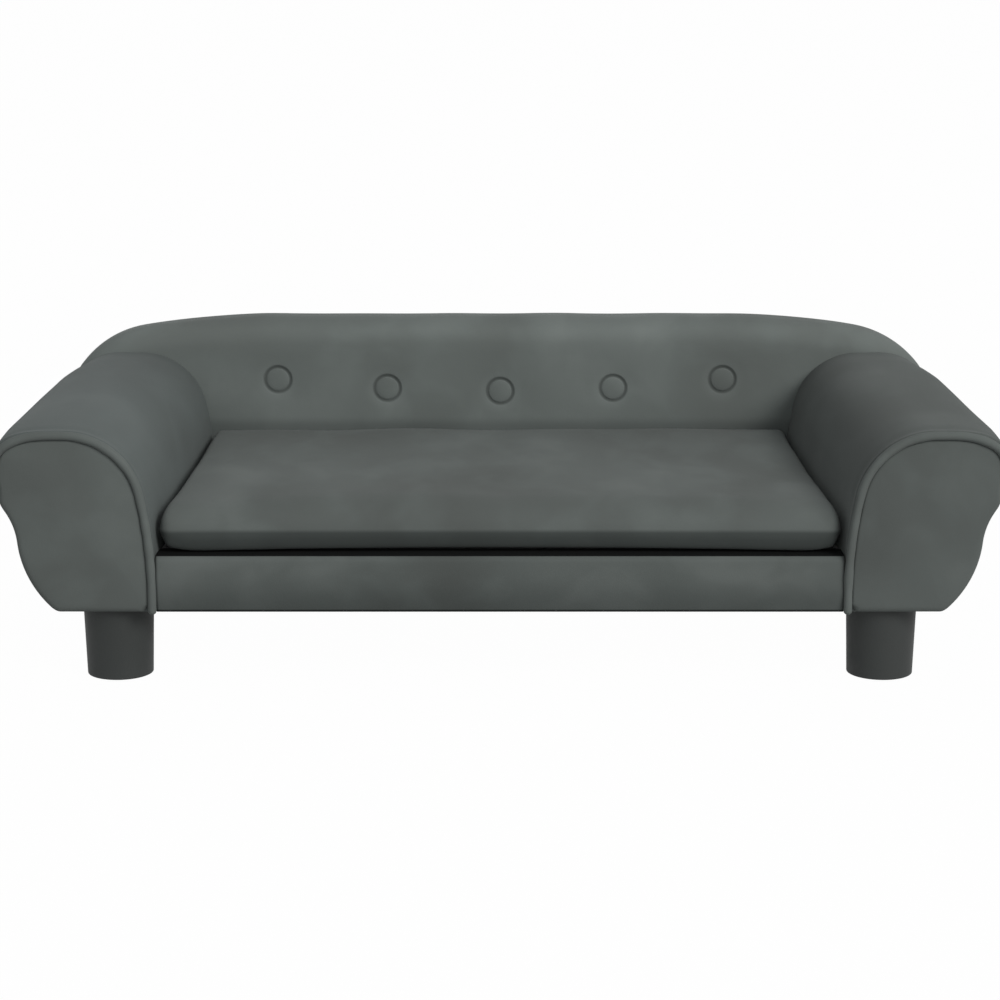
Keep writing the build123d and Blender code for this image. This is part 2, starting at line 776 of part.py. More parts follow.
# Legs: tapered round shells with a bolt boss and ribs, each on a floor pad
leg_places = {}
for end, (x, y) in zip(("front", "rear"), leg_points):
    leg_places[f"{end}_right_leg"] = (x, y)
    leg_places[f"{end}_left_leg"] = (-x, y)
leg_foot_z = pad_thickness


leg_rib_length = leg_foot_diameter - leg_wall / 2


def leg_taper(x, y, inset, bottom_z, mode=Mode.ADD):
    """A cone that follows the leg's outside, drawn in by inset, from bottom_z to the top."""
    with Locations((x, y, bottom_z)):
        Cone(
            leg_foot_diameter / 2 - inset, leg_top_diameter / 2 - inset, base_z - bottom_z,
            align=(Align.CENTER, Align.CENTER, Align.MIN), mode=mode,
        )


for name, (x, y) in leg_places.items():
    with BuildPart() as leg:
        leg_taper(x, y, 0, leg_foot_z)
        fillet(leg.faces().sort_by(Axis.Z)[0].edges(), leg_foot_round)
        leg_taper(x, y, leg_wall, leg_foot_z + leg_floor, mode=Mode.SUBTRACT)
        with BuildSketch(Plane((x, y, leg_foot_z + leg_floor))):
            Circle(leg_boss_diameter / 2)
            Rectangle(leg_rib_length, leg_rib_thickness)
            Rectangle(leg_rib_thickness, leg_rib_length)
        extrude(amount=base_z - leg_foot_z - leg_floor)
        upright_rods([(x, y)], leg_bolt_diameter / 2,
                     base_z + leg_bolt_stand_out - leg_bolt_length, base_z,
                     mode=Mode.SUBTRACT)
    finish_piece(leg, name)

with BuildPart() as foot_pads:
    upright_rods(leg_places.values(), pad_diameter / 2, 0, pad_thickness)
finish_piece(foot_pads, "foot_pads")

leg_bolt_top_z = base_z + leg_bolt_stand_out
with BuildPart() as leg_bolts:
    upright_rods(leg_places.values(), leg_bolt_diameter / 2,
                 leg_bolt_top_z - leg_bolt_length, leg_bolt_top_z)
finish_piece(leg_bolts, "leg_bolts")

with BuildPart() as leg_t_nuts:
    upright_rods(leg_places.values(), t_nut_barrel_diameter / 2,
                 base_board_top_z - t_nut_barrel_length, base_board_top_z)
    upright_rods(leg_places.values(), t_nut_flange_diameter / 2,
                 base_board_top_z, base_board_top_z + t_nut_flange_thickness)
    upright_rods(leg_places.values(), leg_bolt_diameter / 2,
                 base_z, base_board_top_z + t_nut_flange_thickness, mode=Mode.SUBTRACT)
finish_piece(leg_t_nuts, "leg_t_nuts")

# Cushion: a long round from its crown to the front seam and shorter ones at the sides and rear;
# below the seam every edge slants straight in to the underside, least at the zip
cushion_z = deck_z + loose_clearance
cushion_seam_z = cushion_z + cushion_seam_rise
cushion_front_y = front_y + cushion_setback
cushion_rear_y = back_front_y - cushion_rear_gap
cushion_front_half_width = inner_x - toe_in(cushion_front_y) - cushion_side_gap
cushion_rear_half_width = inner_x - toe_in(cushion_rear_y) - cushion_side_gap
under_draws = (cushion_under_draw, cushion_under_draw, cushion_rear_draw)
top_rounds = (cushion_front_round, cushion_side_round, cushion_rear_round)
top_turns = (0, 20, 40, 60, 90)


def cushion_section(z, insets):
    """The cushion's plan at one height; insets draw in its front, its sides and its rear."""
    front_inset, side_inset, rear_inset = insets
    front_x = cushion_front_half_width - side_inset
    rear_x = cushion_rear_half_width - side_inset
    low_y = cushion_front_y + front_inset
    high_y = cushion_rear_y - rear_inset
    shrink = (high_y - low_y) / (cushion_rear_y - cushion_front_y)
    draw = cushion_side_draw * shrink
    middle = ((front_x + rear_x) / 2 - draw, (low_y + high_y) / 2)
    with BuildSketch(Plane.XY.offset(z)) as section:
        with BuildLine():
            ThreePointArc((-front_x, low_y), (0, low_y + draw), (front_x, low_y))
            ThreePointArc((front_x, low_y), middle, (rear_x, high_y))
            Line((rear_x, high_y), (-rear_x, high_y))
            ThreePointArc((-rear_x, high_y), (-middle[0], middle[1]), (-front_x, low_y))
        make_face()
        fillet(section.vertices(), cushion_corner_radius * shrink)
    return section.sketch


def cushion_body(inset):
    """The whole cushion, drawn in by inset, as one loft from its underside to its crown."""
    top_height = cushion_edge_height - cushion_seam_rise - inset
    crown_z = cushion_z + cushion_edge_height + cushion_crown - inset
    sections = [cushion_section(cushion_z + inset, under_draws)]
    for turn in top_turns:
        share = 1 - cos(radians(turn))
        edges = [inset + (top_round - inset) * share for top_round in top_rounds]
        sections.append(cushion_section(cushion_seam_z + top_height * sin(radians(turn)), edges))
    sections.append(cushion_section(crown_z, (crown_inset, crown_inset, crown_inset)))
    with BuildPart() as made:
        loft(sections, ruled=True)
    return made.part


zip_length = 2 * (cushion_rear_half_width - cushion_corner_radius - zip_end_margin)
zip_tape_rear_y = cushion_rear_y - cover_thickness - zip_tape_depth
zip_chain_rear_y = zip_tape_rear_y + zip_chain_thickness


def zip_block(length, height, start_y, end_y):
    """A straight block centred on the zip."""
    return block(
        (-length / 2, length / 2),
        (start_y, end_y),
        (cushion_seam_z - height / 2, cushion_seam_z + height / 2),
    )


with BuildPart() as cushion_cover:
    add(cushion_body(0))
    add(cushion_body(cover_thickness), mode=Mode.SUBTRACT)
    add(zip_block(zip_length, zip_slit_height, zip_tape_rear_y, cushion_rear_y + overrun),
        mode=Mode.SUBTRACT)
finish_piece(cushion_cover, "cushion_cover")

with BuildPart() as cushion_core:
    add(cushion_body(cover_thickness))
    add(zip_block(
        zip_length + zip_tape_width + zip_groove_clearance,
        zip_tape_width + zip_groove_clearance,
        zip_tape_rear_y - zip_tape_thickness, cushion_rear_y + overrun,
    ), mode=Mode.SUBTRACT)
finish_piece(cushion_core, "cushion_core")

with BuildPart() as zip_tape:
    add(zip_block(zip_length + zip_tape_width, zip_tape_width,
                  zip_tape_rear_y - zip_tape_thickness, zip_tape_rear_y))
finish_piece(zip_tape, "zip_tape")

with BuildPart() as zip_chain:
    add(zip_block(zip_length, zip_chain_width, zip_tape_rear_y, zip_chain_rear_y))
finish_piece(zip_chain, "zip_chain")

# Zip slider: its neck reaches into the slit and its plate rides over the cover
slider_x = zip_length / 2 - slider_inset
slider_plate_y = cushion_rear_y + loose_clearance
with BuildPart() as zip_slider:
    with BuildSketch(upright(zip_chain_rear_y + loose_clearance)):
        with Locations((slider_x, cushion_seam_z)):
            Rectangle(slider_length, slider_neck_width)
    extrude(amount=zip_chain_rear_y + loose_clearance - slider_plate_y)
    with BuildSketch(upright(slider_plate_y)):
        with Locations((slider_x, cushion_seam_z)):
            Rectangle(slider_length, slider_width)
    extrude(amount=-slider_plate_thickness)
    with BuildSketch(upright(slider_plate_y + slider_plate_thickness)):
        with Locations((slider_x, cushion_seam_z)):
            Rectangle(slider_lug_width, slider_width / 2)
    extrude(amount=-slider_lug_height)
finish_piece(zip_slider, "zip_slider")

pull_y = slider_plate_y + slider_plate_thickness
pull_top_z = cushion_seam_z + slider_width / 2
with BuildPart() as zip_pull:
    with BuildSketch(upright(pull_y)) as pull_outline:
        with Locations((slider_x, pull_top_z - pull_length / 2)):
            RectangleRounded(pull_width + slider_lug_width, pull_length, pull_end_round)
        with Locations((slider_x, cushion_seam_z)):
            Rectangle(slider_lug_width, slider_width / 2, mode=Mode.SUBTRACT)
    extrude(amount=-pull_thickness)
finish_piece(zip_pull, "zip_pull")
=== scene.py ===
import bmesh
import bpy
import json
import math
import numpy as np
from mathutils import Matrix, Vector


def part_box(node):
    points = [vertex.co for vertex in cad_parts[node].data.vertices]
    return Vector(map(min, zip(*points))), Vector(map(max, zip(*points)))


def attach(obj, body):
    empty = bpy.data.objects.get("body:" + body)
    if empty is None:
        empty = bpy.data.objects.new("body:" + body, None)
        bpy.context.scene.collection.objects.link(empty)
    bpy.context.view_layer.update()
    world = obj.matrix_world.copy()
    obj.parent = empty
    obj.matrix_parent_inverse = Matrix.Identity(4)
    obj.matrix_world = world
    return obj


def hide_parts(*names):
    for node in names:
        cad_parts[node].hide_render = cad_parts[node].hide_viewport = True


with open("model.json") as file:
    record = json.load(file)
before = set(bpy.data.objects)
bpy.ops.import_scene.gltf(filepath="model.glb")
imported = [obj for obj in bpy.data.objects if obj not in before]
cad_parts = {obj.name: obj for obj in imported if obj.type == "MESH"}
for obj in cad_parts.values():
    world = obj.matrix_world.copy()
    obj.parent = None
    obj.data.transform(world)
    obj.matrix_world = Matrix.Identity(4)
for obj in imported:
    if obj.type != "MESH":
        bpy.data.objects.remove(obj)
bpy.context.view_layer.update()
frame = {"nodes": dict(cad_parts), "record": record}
print("frame loaded,", len(frame["nodes"]), "nodes")

# Every shape below is worked out in millimetres and goes into its mesh in metres.


def arc(centreX, centreZ, radius, fromTurn, toTurn, count):  # points on a circle, end left out
    turn = np.radians(fromTurn + (toTurn - fromTurn) * np.arange(count) / count)
    return centreX + radius * np.cos(turn), centreZ + radius * np.sin(turn)


def run(startX, startZ, endX, endZ, count):  # points on a straight line, end left out
    share = np.arange(count) / count
    return startX + (endX - startX) * share, startZ + (endZ - startZ) * share


def joinRuns(runs):  # puts runs of points end to end along the last axis
    shape = np.broadcast_shapes(*[np.shape(x)[:-1] for x, z in runs])
    xs = [np.broadcast_to(x, shape + np.shape(x)[-1:]) for x, z in runs]
    zs = [np.broadcast_to(z, shape + np.shape(z)[-1:]) for x, z in runs]
    return np.stack([np.concatenate(xs, -1), np.concatenate(zs, -1)], -1)


def leftOf(loop):  # unit normals to the left of a closed loop: its tangent turned a quarter turn
    along = np.roll(loop, -1, -2) - np.roll(loop, 1, -2)
    left = np.stack([-along[..., 1], along[..., 0]], -1)
    return left / np.maximum(np.linalg.norm(left, axis=-1, keepdims=True), 1e-9)


def drift(points, wavelength, seed, waves=12):  # sum of sine waves that run in random directions
    rng = np.random.default_rng(seed)
    ways = rng.normal(size=(waves, 3))
    ways /= np.linalg.norm(ways, axis=1, keepdims=True)
    ways *= (2 * math.pi / wavelength) * rng.uniform(0.6, 1.5, (waves, 1))
    return np.sin(points @ ways.T + rng.uniform(0, 6.3, waves)).sum(-1) / math.sqrt(waves / 2)


def smooth(value, low, high):  # 0 below low, 1 above high, an S-curve between
    share = np.clip((value - low) / (high - low), 0, 1)
    return share * share * (3 - 2 * share)


def bell(value, width):  # a bell curve, 1 at nought
    return np.exp(-(value / width) ** 2)


def gridFaces(rows, columns, wrap):  # quads between neighbouring grid points
    row = np.arange(rows - 1)[:, None] * columns
    column = np.arange(columns if wrap else columns - 1)[None, :]
    after = (column + 1) % columns
    quads = [row + column, row + after, row + columns + after, row + columns + column]
    return np.stack([np.broadcast_to(q, (rows - 1, column.size)) for q in quads], -1).reshape(-1, 4)


def gathered(ring):  # a ring drawn together in its middle, which shuts the end of a grid
    return np.repeat(ring.mean(0)[None, None], len(ring), 1)


def meshPiece(name, grids, paint, body="sofa"):  # grids: (points, wraps round)
    points, faces, start = [], [], 0
    for grid, wrap in grids:
        rows, columns = grid.shape[:2]
        points.append(grid.reshape(-1, 3))
        faces.append(gridFaces(rows, columns, wrap) + start)
        start += rows * columns
    mesh = bpy.data.meshes.new(name)
    mesh.from_pydata((np.concatenate(points) / 1000).tolist(), [], np.concatenate(faces).tolist())
    work = bmesh.new()
    work.from_mesh(mesh)
    bmesh.ops.remove_doubles(work, verts=work.verts, dist=2e-5)  # closes seams and gathered ends
    bmesh.ops.dissolve_degenerate(work, edges=work.edges, dist=1e-6)
    bmesh.ops.recalc_face_normals(work, faces=work.faces)
    work.to_mesh(mesh)
    work.free()
    mesh.polygons.foreach_set("use_smooth", np.ones(len(mesh.polygons), bool))
    piece = bpy.data.objects.new(name, mesh)
    bpy.context.scene.collection.objects.link(piece)
    mesh.materials.append(paint)
    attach(piece, body)
    return piece


def tube(path, radii, sides=20):  # a circle carried along a path that lies near an upright plane
    along = np.gradient(path, axis=0)
    along /= np.linalg.norm(along, axis=1, keepdims=True)
    forward = np.array([0.0, 1.0, 0.0]) - along * along[:, 1:2]
    forward /= np.linalg.norm(forward, axis=1, keepdims=True)
    across = np.cross(along, forward)
    turn = 2 * math.pi * np.arange(sides) / sides
    ring = forward[:, None] * np.cos(turn)[None, :, None] + across[:, None] * np.sin(turn)[None, :, None]
    return path[:, None] + ring * radii[:, None, None]


class Wire:  # a shader value that takes + - * and a few shaping calls
    def __init__(self, graph, socket):
        self.graph, self.socket = graph, socket

    def math(self, operation, first, second):
        return self.graph.node("ShaderNodeMath", {"operation": operation}, {0: first, 1: second})

    def __add__(self, other):
        return self.math("ADD", self, other)

    def __sub__(self, other):
        return self.math("SUBTRACT", self, other)

    def __rsub__(self, other):
        return self.math("SUBTRACT", other, self)

    def __mul__(self, other):
        return self.math("MULTIPLY", self, other)

    __radd__ = __add__

    def larger(self, other):
        return self.math("MAXIMUM", self, other)

    def over(self, low, high):  # S-curve from 0 at low to 1 at high
        settings = {"interpolation_type": "SMOOTHSTEP"}
        return self.graph.node("ShaderNodeMapRange", settings, {"Value": self, 1: low, 2: high})


class Graph:  # the node tree of a material or of the world
    def __init__(self, owner):
        owner.use_nodes = True
        self.tree = owner.node_tree
        self.tree.nodes.clear()

    def node(self, kind, settings=None, sockets=None, output=0):  # makes a node and gives one output
        made = self.tree.nodes.new(kind)
        for key, value in (settings or {}).items():
            if key == "stops":
                while len(made.color_ramp.elements) < len(value):
                    made.color_ramp.elements.new(0.5)
                for stop, (place, colour) in zip(made.color_ramp.elements, value):
                    stop.position, stop.color = place, (*colour, 1)
            else:
                setattr(made, key, value)
        for key, value in (sockets or {}).items():
            if isinstance(value, Wire):
                self.tree.links.new(value.socket, made.inputs[key])
            else:
                made.inputs[key].default_value = value
        return Wire(self, made.outputs[output]) if made.outputs else None


class Paint(Graph):  # a new material, with its Principled shader ready
    def __init__(self, name, **fixed):
        self.material = bpy.data.materials.new(name)
        super().__init__(self.material)
        values = {socket.replace("_", " "): value for socket, value in fixed.items()}
        surface = self.node("ShaderNodeBsdfPrincipled", None, values)
        self.shader = surface.socket.node
        self.node("ShaderNodeOutputMaterial", None, {0: surface})

    def place(self):  # the piece's own coordinates, in metres
        return self.node("ShaderNodeTexCoord", output="Object")

    def stretch(self, scale):  # the same, scaled along each axis
        return self.node("ShaderNodeMapping", None, {"Vector": self.place(), "Scale": scale})

    def noise(self, scale, detail, roughness=0.5, distortion=0.0, vector=None):  # over the piece or a vector
        sockets = {"Vector": vector or self.place(), "Scale": scale, "Detail": detail,
                   "Roughness": roughness, "Distortion": distortion}
        return self.node("ShaderNodeTexNoise", None, sockets)

    def mix(self, share, first, second):  # colours mixed by a share
        return self.node("ShaderNodeMix", {"data_type": "RGBA"}, {0: share, 6: first, 7: second}, 2)

    def set(self, **wires):  # joins wires to the shader's sockets
        for socket, value in wires.items():
            self.tree.links.new(value.socket, self.shader.inputs[socket.replace("_", " ")])
        return self.material

    def bump(self, height, distance, strength, below=None):  # below is the bump it lies on
        sockets = {"Height": height, "Distance": distance, "Strength": strength}
        if below is not None:
            sockets["Normal"] = below
        return self.node("ShaderNodeBump", None, sockets)


def tone(red, green, blue):  # a screen colour from 0 to 255 as linear light
    return tuple(((c / 255 + 0.055) / 1.055) ** 2.4 if c > 10 else c / 255 / 12.92
                 for c in (red, green, blue)) + (1,)


velvetLook = dict(dark=(79, 83, 81), mid=(85, 90, 88), light=(92, 97, 95), patch=5.5, blotch=17.0,
                  stops=(0.0, 0.45, 1.0), sheen=0.05, sheenSpread=0.5, sheenTint=(0.9, 0.94, 0.93, 1), gloss=0.12)
# the painted shade ring and the painted highlight ring round each button; dent is the ring's bump
studLook = dict(ringIn=(11.5, 14.2), ringOut=(14.6, 17.5), ringTone=(46, 49, 48), ringShare=0.55,
                glowIn=(14.5, 18.0), glowOut=(18.0, 27.0), glowTone=(118, 124, 122), glowShare=0.1, dent=0.0012)


def velvet(name, lift=1.0, tint=(1, 1, 1), studs=(), streak=(1, 1, 1), bands=(), gloss=1.0, contrast=1.1):
    # pile brushed light and dark in patches; each band mixes in a painted shade tone from one height to another
    look, stud = velvetLook, studLook
    paint = Paint(name, Sheen_Weight=look["sheen"] * gloss, Sheen_Roughness=look["sheenSpread"],
                  Sheen_Tint=look["sheenTint"], Specular_IOR_Level=look["gloss"] * gloss)
    where = paint.stretch(streak)
    broad = paint.noise(look["patch"], 1.5, 0.45, 0.25, where).over(0.34, 0.68)
    blotch = paint.noise(look["blotch"], 2.5, 0.5, 0.3, where).over(0.4, 0.72)
    nap = paint.noise(900.0, 2.0, 0.6)
    brushed = broad * 0.5 + blotch * 0.34 + nap * 0.22 - 0.05
    shades = [tuple((m + (c - m) * contrast) * lift * t for c, m, t in zip(look[key], look["mid"], tint))
              for key in ("dark", "mid", "light")]
    stops = [(place, tone(*shade)[:3]) for place, shade in zip(look["stops"], shades)]
    colour = paint.node("ShaderNodeValToRGB", {"stops": stops}, {0: brushed})
    dent = None
    for centre in studs:  # a painted dark ring of shade where the pile is drawn in round each button, and a faint painted highlight ring just outside it
        ends = {0: paint.stretch((1, 0, 1)), 1: (centre[0] / 1000, 0, centre[1] / 1000)}
        far = paint.node("ShaderNodeVectorMath", {"operation": "DISTANCE"}, ends, "Value") * 1000
        ring = far.over(*stud["ringIn"]) * (1 - far.over(*stud["ringOut"]))
        glow = far.over(*stud["glowIn"]) * (1 - far.over(*stud["glowOut"]))
        colour = paint.mix(ring * stud["ringShare"], colour, tone(*stud["ringTone"]))
        colour = paint.mix(glow * stud["glowShare"], colour, tone(*stud["glowTone"]))
        dent = ring if dent is None else dent + ring
    # bands of painted shade, by height
    for start, end, most, shade in bands:
        height = paint.node("ShaderNodeSeparateXYZ", None, {0: paint.place()}, "Z") * 1000
        colour = paint.mix(height.over(start, end) * most, colour, tone(*shade))
    fibres = paint.bump(paint.noise(1600.0, 2.0, 0.7), 0.00035, 0.45)
    soft = paint.bump(paint.noise(120.0, 3.0, 0.55), 0.0005, 0.3, fibres)
    if dent is not None:
        soft = paint.bump(1 - dent, stud["dent"], 0.8, soft)
    return paint.set(Base_Color=colour, Roughness=0.9 - brushed * 0.14, Normal=soft)


def plainCloth(name, colour, thread=700.0, depth=0.0003, contrast=0.25):  # plain weave, over and under
    paint = Paint(name, Sheen_Weight=0.15, Specular_IOR_Level=0.25)
    threads = {"Vector": paint.place(), "Scale": thread / 6.3}
    warp = paint.node("ShaderNodeTexWave", {"bands_direction": "X"}, threads)
    weft = paint.node("ShaderNodeTexWave", {"bands_direction": "Y"}, threads)
    weave = warp * 0.5 + weft * 0.5
    shade = paint.noise(14.0, 4.0, 0.6).over(0.3, 0.75) * 0.6 + weave * 0.4
    dark = tuple(c * (1 - contrast) for c in colour[:3]) + (1,)
    light = tuple(min(c * (1 + contrast), 1) for c in colour[:3]) + (1,)
    return paint.set(Base_Color=paint.mix(shade, dark, light), Roughness=0.95 - shade * 0.1,
                     Normal=paint.bump(weave, depth, 0.6))


def plywood(name):  # pale birch face with long grain
    paint = Paint(name, Specular_IOR_Level=0.3)
    grain = paint.noise(26.0, 6.0, 0.62, 1.2, paint.stretch((0.25, 3.0, 3.0)))
    pores = paint.noise(420.0, 3.0, 0.6, 0.0, paint.stretch((0.06, 1.0, 1.0))).over(0.52, 0.7)
    shade = grain.over(0.3, 0.72)
    wood = paint.mix(shade, tone(206, 172, 128), tone(176, 138, 94))
    wood = paint.mix(pores * 0.35, wood, tone(132, 98, 62))
    return paint.set(Base_Color=wood, Roughness=0.62 + shade * 0.12,
                     Normal=paint.bump(grain + pores * 0.5, 0.0004, 0.4))


def foam(name):  # open-cell foam
    paint = Paint(name, Specular_IOR_Level=0.15)
    cells = paint.node("ShaderNodeTexVoronoi", {"feature": "F1"}, {"Vector": paint.place(), "Scale": 700.0})
    shade = paint.noise(12.0, 3.0).over(0.3, 0.7)
    pale = paint.mix(shade, tone(236, 228, 196), tone(222, 208, 168))
    return paint.set(Base_Color=paint.mix(cells.over(0.0, 0.6) * 0.3, pale, tone(190, 172, 128)),
                     Roughness=0.92 - shade * 0.05, Normal=paint.bump(cells, 0.0006, 0.6))


def card(name):  # grey-brown board with flecks
    paint = Paint(name, Specular_IOR_Level=0.2)
    flecks = paint.noise(260.0, 4.0, 0.7, 0.0, paint.stretch((1, 0.35, 1)))
    shade = flecks.over(0.35, 0.7)
    return paint.set(Base_Color=paint.mix(shade, tone(178, 150, 112), tone(148, 120, 86)),
                     Roughness=0.86 - shade * 0.08, Normal=paint.bump(flecks, 0.0003, 0.4))


def metal(name, colour, metallic, roughness, scale=300.0):  # plated metal with fine drawn marks
    paint = Paint(name, Metallic=metallic)
    marks = paint.noise(scale, 5.0, 0.6, 0.0, paint.stretch((0.15, 1.0, 1.0)))
    smudge = paint.noise(35.0, 3.0, 0.5)
    dark = tuple(c * 0.78 for c in colour[:3]) + (1,)
    return paint.set(Base_Color=paint.mix(smudge.over(0.3, 0.75), dark, colour),
                     Roughness=roughness + marks * 0.16, Normal=paint.bump(marks, 0.0001, 0.25))


def mouldedPlastic(name, colour, roughness=0.5, grain=520.0, depth=0.0002):  # finely grained moulding
    paint = Paint(name, Specular_IOR_Level=0.38)
    grains = paint.noise(grain, 3.0, 0.55)
    wear = paint.noise(18.0, 4.0, 0.6).over(0.35, 0.75)
    light = tuple(c * 1.22 for c in colour[:3]) + (1,)
    return paint.set(Base_Color=paint.mix(wear, colour, light), Roughness=roughness + wear * 0.1 + grains * 0.08,
                     Normal=paint.bump(grains, depth, 0.5))


buttonBoxes = [np.array(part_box(f"back_button_{number}")) * 1000 for number in range(1, 6)]
buttonPlaces = [tuple(box.mean(0)[[0, 2]]) for box in buttonBoxes]
# tones of painted shade for the back, for the line along the rail's foot and for the strip on the rail's top under
# the cushion
shadeTone, hemShadowTone, gapShadowTone = (62, 66, 65), (20, 23, 22), (10, 11, 11)
paints = {
    # the velvet copies differ in lift as painted light and shade: the right arm and right facing are painted
    # darker than the left ones, the back and the buttons lighter, the seat and the rail darker
    "armRight": velvet("velvet arm right", 0.845, streak=(0.7, 0.4, 0.7)),
    "armLeft": velvet("velvet arm left", 0.93, (0.985, 1.0, 1.01), streak=(0.7, 0.4, 0.7)),
    "facingRight": velvet("velvet facing right", 0.925),
    "facingLeft": velvet("velvet facing left", 0.98),
    # painted shade on the back: a band just above the cushion and a faint band along its top
    "back": velvet("velvet back", 1.13, studs=buttonPlaces, bands=(
        (190, 177, 0.4, shadeTone), (285, 299, 0.16, shadeTone))),
    "outsideBack": velvet("velvet outside back"),
    # painted shade on the cushion's front below its seam
    "seat": velvet("velvet cushion", 0.965, streak=(1, 0.55, 1), contrast=1.35, bands=(
        (157.0, 152.0, 0.7, (40, 44, 43)),)),
    # painted shade on the rail: darker towards its foot, a painted shadow line along the foot, and a painted black
    # shadow strip on its top under the cushion
    "rail": velvet("velvet rail", 0.92, streak=(0.8, 1, 1.2), gloss=0.2, contrast=1.9, bands=(
        (118, 78, 0.38, (48, 52, 51)), (78.4, 77.4, 0.8, hemShadowTone), (131.2, 131.7, 1.0, gapShadowTone))),
    "trim": velvet("velvet trim", 0.98),
    "button": velvet("velvet button", 1.1),
    "lining": plainCloth("seat lining", tone(20, 21, 21)),
    "dustCloth": plainCloth("dust cloth", tone(42, 43, 44), 900.0),
    "wood": plywood("birch plywood"),
    "foam": foam("cut foam"),
    "card": card("liner card"),
    "leg": mouldedPlastic("leg satin", tone(37, 40, 39), 0.6),
    "felt": plainCloth("pad felt", tone(48, 48, 48), 2200.0, 0.0004),
    "steel": metal("zinc plate", tone(196, 198, 200), 1.0, 0.3),
    "twine": plainCloth("tie twine", tone(205, 198, 182), 1600.0, 0.0002),
    "anchor": mouldedPlastic("anchor plastic", tone(34, 34, 35), 0.45),
    "zipCloth": plainCloth("zip tape cloth", tone(50, 52, 52), 1400.0, 0.0002),
    "zipPlastic": mouldedPlastic("zip coil", tone(44, 46, 46), 0.4, 1500.0),
    "zipMetal": metal("zip slider lacquer", tone(58, 60, 61), 0.7, 0.38),
}
print("materials made:", len(paints))

slotPaints = {
    "velvet": "trim", "lining": "lining", "dust_cloth": "dustCloth", "foam": "foam", "card": "card",
    "plywood": "wood", "leg_plastic": "leg", "felt": "felt", "zinc_steel": "steel", "twine": "twine",
    "anchor_plastic": "anchor", "zip_cloth": "zipCloth", "zip_plastic": "zipPlastic", "zip_metal": "zipMetal",
}
for entry in frame["record"]["subparts"]:
    node = frame["nodes"][entry["node"]]
    node.data.materials.clear()
    node.data.materials.append(paints[slotPaints[entry["material_slot"]]])


armShape = dict(
    outerX=500.0, width=160.0, toeIn=16.0, lift=4.0, bottom=75.0, rise=183.0, flankRadius=457.0, flankTurn=12.0,
    rollRadius=79.0, rollTightening=7.0, crestRadius=72.0, crestTurn=36.9, bulgeRadius=32.0, bulgeHeight=40.0,
    underRadius=74.0, underTurn=33.6, neckRadius=67.5, bellyStart=5.4, bellyRadius=106.5, footRound=5.0,
    footShrink=0.4, footLeast=0.6, frontY=-241.0, rearY=195.0,
)
runCounts = dict(flat=6, flank=30, roll=36, level=10, crest=16, bulge=20, under=14, neck=16, belly=30, corner=8,
                 base=16)  # points in each run of the outline, in their order
pipedRuns = ("flat", "flank", "roll", "level", "crest", "bulge")


def cosSin(degrees):  # cosine and sine of a turn
    return math.cos(math.radians(degrees)), math.sin(math.radians(degrees))


def lowerSide(widestX, widestZ, inset, bottom):  # under the bulge, in at the neck, round the belly
    a, n = armShape, runCounts
    (cosUnder, sinUnder), (cosBelly, sinBelly) = cosSin(a["underTurn"]), cosSin(a["bellyStart"])
    underX = widestX - a["underRadius"]
    reach = a["underRadius"] + a["neckRadius"]
    neckX, neckZ = underX + cosUnder * reach, widestZ - sinUnder * reach
    back = a["neckRadius"] + a["bellyRadius"]
    bellyX, bellyZ = neckX - cosBelly * back, neckZ + sinBelly * back
    corner = np.maximum(a["footRound"] - a["footShrink"] * inset, a["footLeast"])  # its height
    bellyEnd = np.degrees(np.arcsin((bellyZ - bottom - corner) / (a["bellyRadius"] - inset)))
    steep = np.radians(bellyEnd)
    footX = bellyX + (a["bellyRadius"] - inset) * np.cos(steep)
    turnX = footX - corner * np.tan(steep)
    share = np.arange(n["corner"]) / n["corner"]  # the corner is a curve of the second degree
    first, second, third = (1 - share) ** 2, 2 * share * (1 - share), share ** 2
    return [
        arc(underX, widestZ, a["underRadius"] - inset, 0, -a["underTurn"], n["under"]),
        arc(neckX, neckZ, a["neckRadius"] + inset, 180 - a["underTurn"], 180 - a["bellyStart"], n["neck"]),
        arc(bellyX, bellyZ, a["bellyRadius"] - inset, -a["bellyStart"], -bellyEnd, n["belly"]),
        (footX * first + turnX * second + (turnX - corner) * third,
         (bottom + corner) * first + bottom * (second + third)),
    ], turnX - corner


